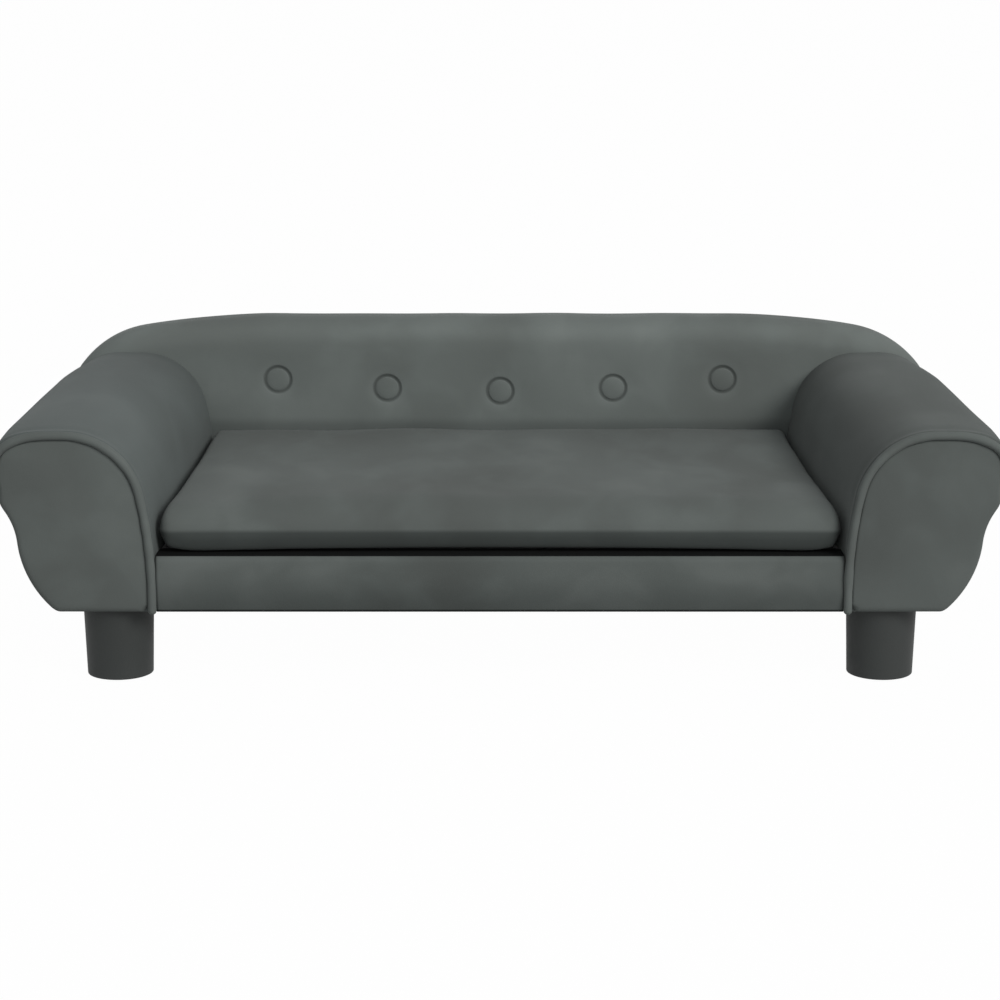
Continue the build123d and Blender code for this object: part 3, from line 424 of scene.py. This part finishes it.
def armOutline(share, inset):  # the right arm's closed outline; share runs from front 0 to rear 1
    a, n = armShape, runCounts
    share = np.asarray(share, float).reshape(-1, 1)
    inset = np.asarray(inset, float).reshape(-1, 1)
    insideX = a["outerX"] - a["width"] - a["toeIn"] * share
    widestX = a["outerX"] - a["toeIn"] * share
    widestZ = a["bottom"] + a["rise"] + a["lift"] * share - a["bulgeHeight"]
    radius = a["rollRadius"] - a["rollTightening"] * share
    cosFlank, sinFlank = cosSin(a["flankTurn"])
    long = a["flankRadius"] - radius
    flankX, flankZ = insideX + a["flankRadius"], widestZ + a["bulgeHeight"] - radius - long * sinFlank
    rollX, rollZ = flankX - cosFlank * long, flankZ + sinFlank * long
    top = rollZ + radius - inset
    bottom = a["bottom"] + inset
    low, lowEndX = lowerSide(widestX, widestZ, inset, bottom)
    bulgeX = widestX - a["bulgeRadius"]
    crestX = bulgeX - (a["crestRadius"] - a["bulgeRadius"]) * cosSin(a["crestTurn"])[1]
    crestZ = top + inset - a["crestRadius"]
    return joinRuns([
        run(insideX + inset, bottom, insideX + inset, flankZ, n["flat"]),
        arc(flankX, flankZ, a["flankRadius"] - inset, 180, 180 - a["flankTurn"], n["flank"]),
        arc(rollX, rollZ, radius - inset, 180 - a["flankTurn"], 90, n["roll"]),
        run(rollX, top, crestX, top, n["level"]),
        arc(crestX, crestZ, a["crestRadius"] - inset, 90, 90 - a["crestTurn"], n["crest"]),
        arc(bulgeX, widestZ, a["bulgeRadius"] - inset, 90 - a["crestTurn"], 0, n["bulge"]),
        *low,
        run(lowEndX, bottom, insideX + inset, bottom, n["base"]),
    ])


def alongRuns(curves, rest):  # a value at each outline point: a run's own curve, or else rest
    parts = {key: np.arange(count) / count for key, count in runCounts.items()}
    return np.concatenate([curves[key](part) if key in curves else part * 0 + rest for key, part in parts.items()])


def mirrorX(points, side):  # side is 1 for the right arm and -1 for the left
    return points * np.array([side, 1.0, 1.0])


def inDepth(outline, depth):  # a flat outline in width and height, stood at its depth
    depth = np.broadcast_to(np.asarray(depth, float).reshape(-1, 1), outline.shape[:2])
    return np.stack([outline[..., 0], depth, outline[..., 1]], -1)


coverShape = dict(
    lip=13.0, round=3.4, rows=120, swell=1.8, swellStart=(4, 70), swellEnd=(-4, 60), pinch=1.0, pinchAt=12.0,
    pinchWidth=7.0, ripple=0.22, rippleLength=120.0, tuck=5.0, shoulder=4.6, shoulderFade=120.0,
)


def shoulderShare():  # 1 where an arm's crest meets its bulge, 0 at the far ends of both
    return alongRuns({"crest": lambda part: smooth(part, 0.1, 1),
                      "bulge": lambda part: 1 - smooth(part, 0, 0.9)}, 0)


def armCover(side):  # outline carried from front to rear, with a swell that starts behind the piping
    a, c = armShape, coverShape
    turn = np.linspace(0, math.pi / 2, 7)
    frontY = a["frontY"] + c["round"] * (1 - np.cos(turn))
    middleY = np.linspace(a["frontY"] + c["round"], a["rearY"] + c["tuck"], c["rows"])[1:]
    y = np.concatenate([[a["frontY"], a["frontY"]], frontY, middleY])
    inset = np.concatenate([[c["lip"], c["lip"] * 0.7], c["round"] * (1 - np.sin(turn)), middleY * 0])
    fromFront, fromRear = y - a["frontY"], a["rearY"] - y
    outline = armOutline(fromFront / (a["rearY"] - a["frontY"]), inset)
    points = inDepth(outline, y)
    away = inDepth(leftOf(outline), 0)
    soft = smooth(outline[..., 1], a["bottom"] + 3, a["bottom"] + 30)  # the foot stays straight
    swell = c["swell"] * smooth(fromFront, *c["swellStart"]) * smooth(fromRear, *c["swellEnd"])
    swell -= c["pinch"] * bell(fromFront - c["pinchAt"], c["pinchWidth"])
    ripple = c["ripple"] * drift(points * np.array([1, 0.6, 1]), c["rippleLength"], 5 + side)
    push = (swell[:, None] + ripple * smooth(fromFront, 6, 30)[:, None] * smooth(fromRear, 0, 20)[:, None]) * soft
    push = push + c["shoulder"] * (1 - smooth(fromRear, c["shoulderFade"], 0))[:, None] * shoulderShare()
    points = points + away * push[..., None]
    return mirrorX(np.concatenate([gathered(points[0]), points, gathered(points[-1])]), side)


facingShape = dict(inset=7.6, lowInset=0.6, edge=3.4, lowEdge=7.0, mostEdge=5.4, depth=4.8, dome=3.0, rings=26,
                   shoulder=2.0, ripple=0.35, rippleLength=75.0)


def belowPiping():  # 0 where the piping runs along an arm's outline, 1 along its outer and lower edge
    piped = {key: lambda part: part * 0 for key in pipedRuns}
    return alongRuns({**piped, "under": lambda part: smooth(part, 0.35, 0.85),
                      "base": lambda part: 1 - smooth(part, 0.86, 1.0)}, 1)


def armFacing(side):  # a padded plate: quarter-round edge, then a dome, depth 1 - share ** 2, to its middle
    a, f = armShape, facingShape
    low = belowPiping()[:, None]
    turn = np.linspace(0, math.pi / 2, 7)
    rounding = f["edge"] + (f["lowEdge"] - f["edge"]) * low[:, 0]
    rows = []
    for inset, edge in ((f["inset"], f["edge"]), (f["lowInset"], f["lowEdge"])):
        insets = np.concatenate([[inset + 4, inset], inset + edge * (1 - np.cos(turn))])
        rows.append(armOutline(insets * 0, insets))
    outline = rows[0] * (1 - low) + rows[1] * low
    outline = outline + leftOf(outline) * (f["shoulder"] * shoulderShare())[:, None]
    front = a["frontY"] - f["depth"] + np.minimum(rounding, f["mostEdge"]) * (1 - np.sin(turn))[:, None]
    hidden = a["frontY"] + np.array([[1.0], [0.6]]) + 0 * rounding  # two rings inside the cover
    y = np.concatenate([hidden, front])
    points = np.stack([outline[..., 0], y, outline[..., 1]], -1)
    centre = np.array([a["outerX"] - 0.6 * a["width"], 0, a["bottom"] + 0.5 * a["rise"]])
    share = np.linspace(1, 0, f["rings"])[1:, None, None]
    inner = centre + (points[-1][None] - centre) * share
    inner[..., 1] = points[-1][None, :, 1] - f["dome"] * (1 - share[..., 0] ** 2)
    inner[..., 1] += f["ripple"] * drift(inner, f["rippleLength"], 21 + side) * (1 - share[..., 0] ** 4)
    return mirrorX(np.concatenate([gathered(points[0]), points, inner]), side)


pipingShape = dict(radius=4.3, inset=4.1, tail=1.6, endShare=0.46, endDip=7.0, wobble=0.03, rows=260)


def armPiping(side):  # a cord up the inner edge, over the roll and round the bulge
    a, p = armShape, pipingShape
    last = sum(runCounts[key] for key in pipedRuns) + int(runCounts["under"] * p["endShare"])
    outline = armOutline([0.0], [p["inset"]])[0]
    outline = (outline + leftOf(outline) * (facingShape["shoulder"] * shoulderShare())[:, None])[:last]
    foot = outline[0] - np.array([0, p["radius"]]) + np.array([[0, -p["tail"]], [0, -p["tail"] * 0.6], [0, 2]])
    line = np.concatenate([foot, outline[1:]])
    length = np.concatenate([[0], np.cumsum(np.linalg.norm(np.diff(line, axis=0), axis=1))])
    even = np.linspace(0, length[-1], p["rows"])
    x, z = np.interp(even, length, line[:, 0]), np.interp(even, length, line[:, 1])
    fromEnd = length[-1] - even
    y = a["frontY"] - p["radius"] + p["endDip"] * (1 - smooth(fromEnd, 0, 16))  # dives into the seam
    path = np.stack([x, y, z], -1)
    radii = p["radius"] * (1 + p["wobble"] * drift(path, 26, 31 + side))
    radii *= np.sqrt(np.clip(even / 3, 0.02, 1)) * np.sqrt(np.clip(fromEnd / 8, 0.02, 1))
    return mirrorX(tube(path, radii), side)


for side, word in ((1, "right"), (-1, "left")):
    paint, frontPaint = paints["arm" + word.title()], paints["facing" + word.title()]
    cover = meshPiece(f"{word}_arm_upholstery", [(armCover(side), True)], paint)
    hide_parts(f"{word}_arm_cover")
    facing = meshPiece(f"{word}_arm_front_pad", [(armFacing(side), True)], frontPaint)
    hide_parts(f"{word}_arm_facing")
    piping = meshPiece(f"{word}_arm_welt", [(armPiping(side), True)], paints["trim"])
    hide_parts(f"{word}_arm_piping")
print("arms done")


backShape = dict(
    sideX=484.0, widestZ=222.0, sideRise=4.8, crownRadius=850.0, crownTurn=10.0, shoulderRadius=120.0,
    shoulderTurn=50.0, cornerRadius=30.0, bottom=75.0, frontY=195.0, rearY=247.0, frontRound=26.0, rearRound=8.0,
    lowRound=2.0, footRound=0.8, spineZ=176.0, spineX=400.0, puff=2.6, puffRise=(120, 215), puffFall=(262, 300),
    puffEnds=(300, 470), ripple=0.5, rippleLength=130.0, topRipple=0.5, topRippleLength=120.0, tuftDepth=2.6,
    tuftWidth=17.0, pullDepth=1.0, pullWidth=38.0,
)


def backOutline():  # closed outline: over the top from left to right, then along the bottom
    b = backShape
    (cosCrown, sinCrown), (cosShoulder, sinShoulder) = cosSin(b["crownTurn"]), cosSin(b["shoulderTurn"])
    cornerX, cornerZ = b["sideX"] - b["cornerRadius"], b["widestZ"] + b["sideRise"]
    short = b["shoulderRadius"] - b["cornerRadius"]
    shoulderX, shoulderZ = cornerX - short * sinShoulder, cornerZ - short * cosShoulder
    long = b["crownRadius"] - b["shoulderRadius"]
    crownX, crownZ = shoulderX - long * sinCrown, shoulderZ - long * cosCrown
    low, lowEndX = lowerSide(np.array([[b["sideX"]]]), b["widestZ"], np.zeros((1, 1)), b["bottom"])
    half = joinRuns([
        run(0, crownZ + b["crownRadius"], crownX, crownZ + b["crownRadius"], 80),
        arc(crownX, crownZ, b["crownRadius"], 90, 90 - b["crownTurn"], 46),
        arc(shoulderX, shoulderZ, b["shoulderRadius"], 90 - b["crownTurn"], 90 - b["shoulderTurn"], 28),
        arc(cornerX, cornerZ, b["cornerRadius"], 90 - b["shoulderTurn"], 0, 12),
        run(b["sideX"], cornerZ, b["sideX"], b["widestZ"], 2),
        *low,
        run(lowEndX, b["bottom"], 0, b["bottom"], 90),
    ])[0]
    mirrored = half[1:][::-1] * np.array([-1, 1])
    return np.concatenate([half, np.array([[0, b["bottom"]]]), mirrored])


def toSpine(ring, rings, depth):  # flat rings that shrink from a ring onto a level middle line
    b = backShape
    edge = ring[:, [0, 2]]
    share = np.linspace(0, 1, rings)[1:, None, None]
    heart = np.stack([np.clip(edge[:, 0], -b["spineX"], b["spineX"]), np.full(len(edge), b["spineZ"])], -1)
    return inDepth(edge[None] * (1 - share) + heart[None] * share, depth)


def tuft(x, z):  # depth of the hollows round the buttons and of the faint pulls beside them
    b, hollow = backShape, 0
    for placeX, placeZ in buttonPlaces:
        far = np.hypot(x - placeX, z - placeZ)
        hollow = hollow + b["tuftDepth"] * bell(far, b["tuftWidth"]) + b["pullDepth"] * bell(far, b["pullWidth"])
    return hollow


def backBody():  # front face from its middle out, round the soft edge, over the top, down the rear
    b = backShape
    outline = backOutline()
    z = outline[:, 1]
    upper = smooth(z, b["widestZ"] - 12, b["widestZ"] + 16)
    frontRound = b["lowRound"] + (b["frontRound"] - b["lowRound"]) * upper
    turn = np.linspace(0, math.pi / 2, 12)[:, None]
    frontInset = frontRound * (1 - np.sin(turn))
    frontY = b["frontY"] + frontRound * (1 - np.cos(turn))
    rearTurn = np.linspace(0, math.pi / 2, 7)[:, None]
    aboveFoot = smooth(z, b["bottom"] + 4, b["bottom"] + 40)
    rearRound = b["footRound"] + (b["rearRound"] - b["footRound"]) * aboveFoot
    rearInset = rearRound * (1 - np.cos(rearTurn))
    rearY = b["rearY"] - rearRound * (1 - np.sin(rearTurn))
    share = np.linspace(0, 1, 12)[1:-1, None]
    middleY = frontY[-1] * (1 - share) + rearY[0] * share
    inset = np.concatenate([frontInset, middleY * 0, rearInset])
    y = np.concatenate([frontY, middleY, rearY])
    band = outline[None] - leftOf(outline)[None] * inset[..., None]
    band = np.stack([band[..., 0], y, band[..., 1]], -1)
    points = np.concatenate([toSpine(band[0], 34, b["frontY"])[::-1], band, toSpine(band[-1], 12, b["rearY"])])
    px, py, pz = points[..., 0], points[..., 1], points[..., 2]
    facing = 1 - smooth(py, b["frontY"], b["frontY"] + b["frontRound"])
    above = smooth(pz, b["bottom"] + 5, b["bottom"] + 60)
    puff = b["puff"] * smooth(pz, *b["puffRise"]) * (1 - smooth(pz, *b["puffFall"]))
    puff = puff * (1 - smooth(np.abs(px), *b["puffEnds"]))
    wave = b["ripple"] * drift(points * np.array([1.0, 1.0, 0.6]), b["rippleLength"], 41)
    points[..., 1] -= facing * (puff + wave * above - tuft(px, pz))
    top = (1 - facing) * above * (1 - smooth(py, b["rearY"] - 14, b["rearY"]))
    points[..., 2] += top * b["topRipple"] * drift(points * np.array([1, 0.4, 1]), b["topRippleLength"], 45)
    return points


backPiece = meshPiece("back_upholstery", [(backBody(), True)], paints["back"])
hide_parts("inside_back_cover")

panelShape = dict(inset=9.0, round=1.6, y0=246.6, y1=249.8, sunk=0.6, puff=0.7, ripple=0.18, rippleLength=130.0)


def outsidePanel():  # a thin padded plate, rounded at its edge
    p, rings = panelShape, 18
    outline = backOutline()
    inset = p["inset"] + p["round"] * np.array([0.6, 0.0, 0.0, 0.3, 1.0])
    y = np.array([p["y0"] - p["sunk"], p["y0"], p["y1"] - p["round"], p["y1"] - 0.45, p["y1"]])
    band = inDepth(outline[None] - leftOf(outline)[None] * inset[:, None, None], y)
    inner = toSpine(band[-1], rings, p["y1"])
    share = np.linspace(0, 1, rings)[1:, None]
    inner[..., 1] += p["puff"] * share * (2 - share) + p["ripple"] * drift(inner, p["rippleLength"], 51) * share
    return np.concatenate([toSpine(band[0], 3, p["y0"] - p["sunk"])[::-1], band, inner])


panelPiece = meshPiece("outside_back_cloth", [(outsidePanel(), True)], paints["outsideBack"])
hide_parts("outside_back_panel")

buttonShape = dict(radius=13.2, thickness=6.2, dome=1.0, edge=2.0, sink=0.9, pleats=16, pleatDepth=0.14)


def coveredButton(place, frontY):  # a profile turned about the button's middle, with tucked pleats
    s = buttonShape
    turn = np.linspace(0, math.pi / 2, 7)
    flat = np.linspace(0, s["radius"] - s["edge"], 9)[:-1]
    radius = np.concatenate([flat, s["radius"] - s["edge"] + s["edge"] * np.sin(turn), [s["radius"] * 0.96, 0]])
    depth = np.concatenate([-s["dome"] * (1 - (flat / s["radius"]) ** 2), s["edge"] * (1 - np.cos(turn)) - 0.15,
                            [s["thickness"], s["thickness"]]])
    around = np.linspace(0, 2 * math.pi, 64, endpoint=False)
    gather = s["pleatDepth"] * smooth(radius, s["radius"] - 3, s["radius"])[:, None]
    reach = radius[:, None] + gather * np.cos(around * s["pleats"] + place[0])
    x = place[0] + reach * np.cos(around)
    z = place[1] + reach * np.sin(around)
    y = np.broadcast_to((frontY + depth)[:, None], x.shape)
    return np.stack([x, y, z], -1)


for number, (place, box) in enumerate(zip(buttonPlaces, buttonBoxes), 1):
    surface = coveredButton(place, box[0][1] + buttonShape["sink"])
    button = meshPiece(f"covered_button_{number}", [(surface, True)], paints["button"])
    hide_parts(f"back_button_{number}")
print("back done")


railShape = dict(halfX=340.0, y0=-242.0, y1=-208.0, z0=75.0, z1=131.9, topRound=6.0, lowRound=3.0, puff=2.6,
                 ripple=0.3, rippleLength=70.0, columns=260)


def railCover():  # a rounded rectangle carried across, plump in front
    r = railShape
    y0, y1, z0, z1, big, small = (r[key] for key in ("y0", "y1", "z0", "z1", "topRound", "lowRound"))
    loop = joinRuns([
        run(y0, z0 + small, y0, z1 - big, 12),
        arc(y0 + big, z1 - big, big, 180, 90, 8),
        run(y0 + big, z1, y1 - small, z1, 6),
        arc(y1 - small, z1 - small, small, 90, 0, 4),
        run(y1, z1 - small, y1, z0 + small, 8),
        arc(y1 - small, z0 + small, small, 0, -90, 4),
        run(y1 - small, z0, y0 + small, z0, 6),
        arc(y0 + small, z0 + small, small, -90, -180, 5),
    ])
    x = np.linspace(-r["halfX"], r["halfX"], r["columns"])[:, None]
    points = np.stack([x + 0 * loop[:, 0], loop[:, 0] + 0 * x, loop[:, 1] + 0 * x], -1)
    front = 1 - smooth(points[..., 1], y0, y0 + 10)
    plump = front * np.sin(np.clip((points[..., 2] - z0) / (z1 - z0), 0, 1) * math.pi)
    wave = r["ripple"] * drift(points * np.array([1, 1, 0.7]), r["rippleLength"], 61)
    points[..., 1] -= plump * (r["puff"] + wave)
    return np.concatenate([gathered(points[0]), points, gathered(points[-1])])


rail = meshPiece("front_rail_upholstery", [(railCover(), True)], paints["rail"])
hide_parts("front_rail_cover")


deckShape = dict(z=131.2, y0=-209.8, y1=194.5, gap=0.8, sag=-0.3, seed=71, thickness=0.0012)
dustShape = dict(z=74.4, y0=-230, y1=235, gap=12, sag=-0.4, seed=73, thickness=0.0008)


def seatSheet(s):  # cloth stretched between the arms, a little slack away from its edges
    a = armShape
    x, y = np.linspace(-1, 1, 120)[None, :], np.linspace(s["y0"], s["y1"], 70)[:, None]
    toe = a["toeIn"] * (y - a["frontY"]) / (a["rearY"] - a["frontY"])
    half = a["outerX"] - a["width"] - toe - s["gap"]
    points = np.stack([x * half, y + 0 * x, s["z"] + 0 * x * y], -1)
    slack = (1 - x ** 8) * (1 - ((2 * y - s["y0"] - s["y1"]) / (s["y1"] - s["y0"])) ** 8)
    points[..., 2] += slack * (s["sag"] + 0.3 * drift(points, 80, s["seed"]))
    return points


def sheetPiece(name, shape, paint):  # the sheet with its thickness
    sheet = meshPiece(name, [(seatSheet(shape), False)], paint)
    wall = sheet.modifiers.new("thickness", "SOLIDIFY")
    wall.thickness, wall.offset = shape["thickness"], 0
    return sheet


deck = sheetPiece("deck_lining", deckShape, paints["lining"])
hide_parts("deck_cover")
dust = sheetPiece("under_cloth", dustShape, paints["dustCloth"])
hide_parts("dust_cover")
print("rail and sheets done")


cushionShape = dict(
    frontY=-233.5, rearY=186.5, frontHalf=341.4, rearHalf=328.0, corner=14.0, bottom=133.2, seam=151.5, top=176.2,
    crown=1.6, draw=2.0, frontRound=46.0, sideRound=11.0, rearRound=9.0, chamfer=8.0, frontChamfer=4.0,
    frontDrop=3.4, wave=0.8, waveLength=170.0, seamCrease=0.85, coverThick=2.5, zipRoomY=180.3,
    pressure=4.0, steps=20, mostMove=3.0,  # for the cloth
    frontLift=3.4, liftHalf=310.0, liftDepth=130.0, earLift=6.0, earWidth=22.0, earDepth=26.0,
    deckZ=132.3, backY=191.0, sideRoom=1.0,  # what it must stay clear of
)


def spread(length, count):  # places from 0 to length, close together at both ends
    near = np.array([0, 2.0, 4.2, 6.8, 10.0, 14.0, 19.0, 25.0, 32.0, 40.0])
    return np.concatenate([near, np.linspace(40, length - 40, count)[1:-1], length - near[::-1]])


def quarter(share, power=2.2):  # leaves 0 upright and comes level at 1: root of 1 - (1 - share) ** power
    return np.sqrt(1 - (1 - np.clip(share, 0, 1)) ** power)


def seamHeight(y):  # the seam sits lower along the front
    c = cushionShape
    return c["seam"] - c["frontDrop"] * (1 - smooth(y, c["frontY"] + 10, c["frontY"] + 90))


def slope(share):  # a nearly straight slant from 0 up to 1
    return 1 - (1 - np.clip(share, 0, 1)) ** 1.2


def cushionBody():  # two panels that share the seam; each height is a product of its edges' profiles
    c = cushionShape
    depth, half = c["rearY"] - c["frontY"], (c["frontHalf"] + c["rearHalf"]) / 2
    across = spread(2 * half, 84)[None, :] - half
    back = spread(depth, 50)[:, None]
    fromSide, fromFront, fromRear = half - np.abs(across) + 0 * back, back + 0 * across, depth - back + 0 * across
    r = c["corner"]
    a, b = np.clip(1 - fromSide / r, 0, 1), np.clip(1 - np.minimum(fromFront, fromRear) / r, 0, 1)
    x = np.sign(across) * (half - fromSide - r * a + r * a * np.sqrt(1 - b * b / 2))
    end = np.where(fromFront < fromRear, -1, 1)
    y = fromFront + end * (r * b * np.sqrt(1 - a * a / 2) - r * b) + c["frontY"]
    middle = c["frontY"] + depth / 2
    share = (y - c["frontY"]) / depth
    x = x * (c["frontHalf"] + (c["rearHalf"] - c["frontHalf"]) * share) / half
    x = x - c["draw"] * (x / half) ** 3 * (1 - ((y - middle) / (depth / 2)) ** 2)
    y = y + c["draw"] * (1 - (x / half) ** 2) * (1 - smooth(y, c["frontY"], c["frontY"] + 60))
    rise = quarter(fromSide / c["sideRound"]) * quarter(fromFront / c["frontRound"])
    rise = rise * quarter(fromRear / c["rearRound"])
    fall = slope(fromSide / c["chamfer"]) * slope(fromFront / c["frontChamfer"]) * slope(fromRear / c["chamfer"])
    seam = seamHeight(y)
    top = np.stack([x, y, seam + (c["top"] - seam) * rise], -1)
    wave = c["wave"] * drift(top * np.array([1, 1, 0]), c["waveLength"], 81)
    top[..., 2] += rise * (c["crown"] * (1 - (x / half) ** 4) + wave)
    under = np.stack([x, y, seam - (seam - c["bottom"]) * fall], -1)
    return top, under


def armFaceX(y, z):  # the arm's inner face: straight, then a circle that leans outwards
    a = armShape
    share = (y - a["frontY"]) / (a["rearY"] - a["frontY"])
    flankZ = a["bottom"] + a["rise"] + a["lift"] * share - (a["rollRadius"] - a["rollTightening"] * share)
    flankZ -= (a["flankRadius"] - a["rollRadius"]) * cosSin(a["flankTurn"])[1]
    lean = np.clip(z - flankZ, 0, 120)
    away = a["flankRadius"] - np.sqrt(a["flankRadius"] ** 2 - lean ** 2)
    return a["outerX"] - a["width"] - a["toeIn"] * share + away


def meshPoints(mesh):  # corner places of a mesh in millimetres
    flat = np.empty(len(mesh.vertices) * 3)
    mesh.vertices.foreach_get("co", flat)
    return flat.reshape(-1, 3) * 1000


def blowUp(piece):  # swells the body as cloth under pressure; each point moves mostMove at the most
    c = cushionShape
    before = meshPoints(piece.data)
    cloth = piece.modifiers.new("cloth", "CLOTH")
    cloth.settings.quality = 6
    cloth.settings.use_pressure = True
    cloth.settings.uniform_pressure_force = c["pressure"]
    cloth.settings.effector_weights.gravity = 0
    cloth.point_cache.frame_start, cloth.point_cache.frame_end = 1, c["steps"]
    for step in range(1, c["steps"] + 1):
        bpy.context.scene.frame_set(step)
    blown = piece.evaluated_get(bpy.context.evaluated_depsgraph_get())
    shift = meshPoints(blown.data) - before
    bpy.context.scene.frame_set(1)
    piece.modifiers.clear()
    far = np.linalg.norm(shift, axis=1, keepdims=True)
    print("cushion swelled by", round(float(far.mean()), 2), "mm on average")
    return before + shift * np.minimum(1, c["mostMove"] / np.maximum(far, 1e-6))


def settle(points):  # lifts the front's middle and its corners, keeps off the deck, the arms and the back
    c = cushionShape
    x, y, z = points.T.copy()
    fromSide, fromFront = np.maximum(c["frontHalf"] - np.abs(x), 0), y - c["frontY"]
    arch = np.clip(1 - (x / c["liftHalf"]) ** 2, 0, 1) * (1 - smooth(fromFront, 0, c["liftDepth"]))
    ear = bell(fromSide, c["earWidth"]) * bell(fromFront, c["earDepth"])
    z = np.maximum(z, c["deckZ"]) + c["frontLift"] * arch + c["earLift"] * ear
    most = armFaceX(y, z) - c["sideRoom"]
    return np.stack([np.clip(x, -most, most), np.minimum(y, c["backY"]), z], -1)


def creaseSeam(mesh, strength):  # marks the edges along the seam, so that subdividing keeps them crisp
    ends = np.empty(len(mesh.edges) * 2, int)
    mesh.edges.foreach_get("vertices", ends)
    points = meshPoints(mesh)
    onSeam = np.abs(points[:, 2] - seamHeight(points[:, 1])) < 0.01
    marks = mesh.attributes.new("crease_edge", "FLOAT", "EDGE")
    marks.data.foreach_set("value", onSeam[ends.reshape(-1, 2)].all(1) * float(strength))


cushionTop, cushionUnder = cushionBody()
cushion = meshPiece("seat_cushion", [(cushionTop, False), (cushionUnder, False)], paints["seat"], "cushion")
creaseSeam(cushion.data, cushionShape["seamCrease"])
cushion.data.vertices.foreach_set("co", (settle(blowUp(cushion)) / 1000).ravel())
finer = cushion.modifiers.new("finer", "SUBSURF")
finer.levels = finer.render_levels = 1

core = bpy.data.objects.new("cushion_foam", cushion.data.copy())  # the same body, drawn in along its normals
bpy.context.scene.collection.objects.link(core)
normals = np.empty(len(core.data.vertices) * 3)
core.data.vertices.foreach_get("normal", normals)
corePoints = meshPoints(core.data) - cushionShape["coverThick"] * normals.reshape(-1, 3)
corePoints[:, 1] = np.minimum(corePoints[:, 1], cushionShape["zipRoomY"])
core.data.vertices.foreach_set("co", (corePoints / 1000).ravel())
core.data.materials.clear()
core.data.materials.append(paints["foam"])
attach(core, "cushion")
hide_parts("cushion_core")
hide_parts("cushion_cover")
print("cushion done")


def lampSheet(name, place, aim, size, power, colour):  # a flat lamp turned towards its aim
    data = bpy.data.lights.new(name, "AREA")
    data.shape, data.size, data.size_y = "RECTANGLE", size[0], size[1]
    data.energy, data.color = power, colour
    lamp = bpy.data.objects.new(name, data)
    lamp.location = place
    lamp.rotation_euler = (Vector(aim) - Vector(place)).to_track_quat("-Z", "Y").to_euler()
    bpy.context.scene.collection.objects.link(lamp)


lampSheet("soft light right", place=(5.2, -5.8, 4.87), aim=(0, 0, 0.15), size=(3.4, 3.4), power=634,
          colour=(1.0, 0.99, 0.975))
lampSheet("soft light front", place=(-1.5, -6.0, 2.2), aim=(0, 0, 0.2), size=(3.4, 2.6), power=40,
          colour=(0.97, 0.99, 1.0))

stageShape = dict(skyColour=(0.98, 0.99, 1.0, 1), skyStrength=0.55, floorColour=(0.5, 0.5, 0.5, 1),
                  floorWhite=0.985, floorHalf=30, white=(1, 1, 1, 1))


def seenRays(graph):  # 1 where the camera, a mirror or glass looks, 0 where light arrives
    seen = graph.node("ShaderNodeLightPath")
    for kind in ("Is Glossy Ray", "Is Transmission Ray"):
        seen = seen.larger(graph.node("ShaderNodeLightPath", output=kind))
    return seen


world = bpy.data.worlds.new("white studio")
sky = Graph(world)
skySeen = seenRays(sky)
skyLight = sky.node("ShaderNodeBackground", None, {0: stageShape["skyColour"], 1: stageShape["skyStrength"]})
skyWhite = sky.node("ShaderNodeBackground", None, {0: stageShape["white"], 1: 1.0})
skyMix = sky.node("ShaderNodeMixShader", None, {0: skySeen, 1: skyLight, 2: skyWhite})
sky.node("ShaderNodeOutputWorld", None, {0: skyMix})
bpy.context.scene.world = world

floorPaint = bpy.data.materials.new("pale floor")
ground = Graph(floorPaint)
floorShare = seenRays(ground) * stageShape["floorWhite"]
floorMatt = ground.node("ShaderNodeBsdfDiffuse", None, {0: stageShape["floorColour"]})
floorGlow = ground.node("ShaderNodeEmission", None, {0: stageShape["white"], 1: 1.0})
floorMix = ground.node("ShaderNodeMixShader", None, {0: floorShare, 1: floorMatt, 2: floorGlow})
ground.node("ShaderNodeOutputMaterial", None, {0: floorMix})
floorMesh = bpy.data.meshes.new("pale floor")
floorCorners = [(x * stageShape["floorHalf"], y * stageShape["floorHalf"], 0)
                for x, y in ((-1, -1), (1, -1), (1, 1), (-1, 1))]
floorMesh.from_pydata(floorCorners, [], [(0, 1, 2, 3)])
floorMesh.materials.append(floorPaint)
floor = bpy.data.objects.new("pale floor", floorMesh)
bpy.context.scene.collection.objects.link(floor)

cameraShape = dict(distance=2.8464, height=0.7759, pitch=12.695, lens=97.90, sensor=36.0, clip=(0.05, 200))
cameraData = bpy.data.cameras.new("level view")
cameraData.lens, cameraData.sensor_width = cameraShape["lens"], cameraShape["sensor"]
cameraData.clip_start, cameraData.clip_end = cameraShape["clip"]
camera = bpy.data.objects.new("level view", cameraData)
camera.location = (0, -cameraShape["distance"], cameraShape["height"])
camera.rotation_euler = (math.radians(90 - cameraShape["pitch"]), 0, 0)
bpy.context.scene.collection.objects.link(camera)
bpy.context.scene.camera = camera
bpy.context.scene.view_settings.view_transform = "Standard"

print("scene done")
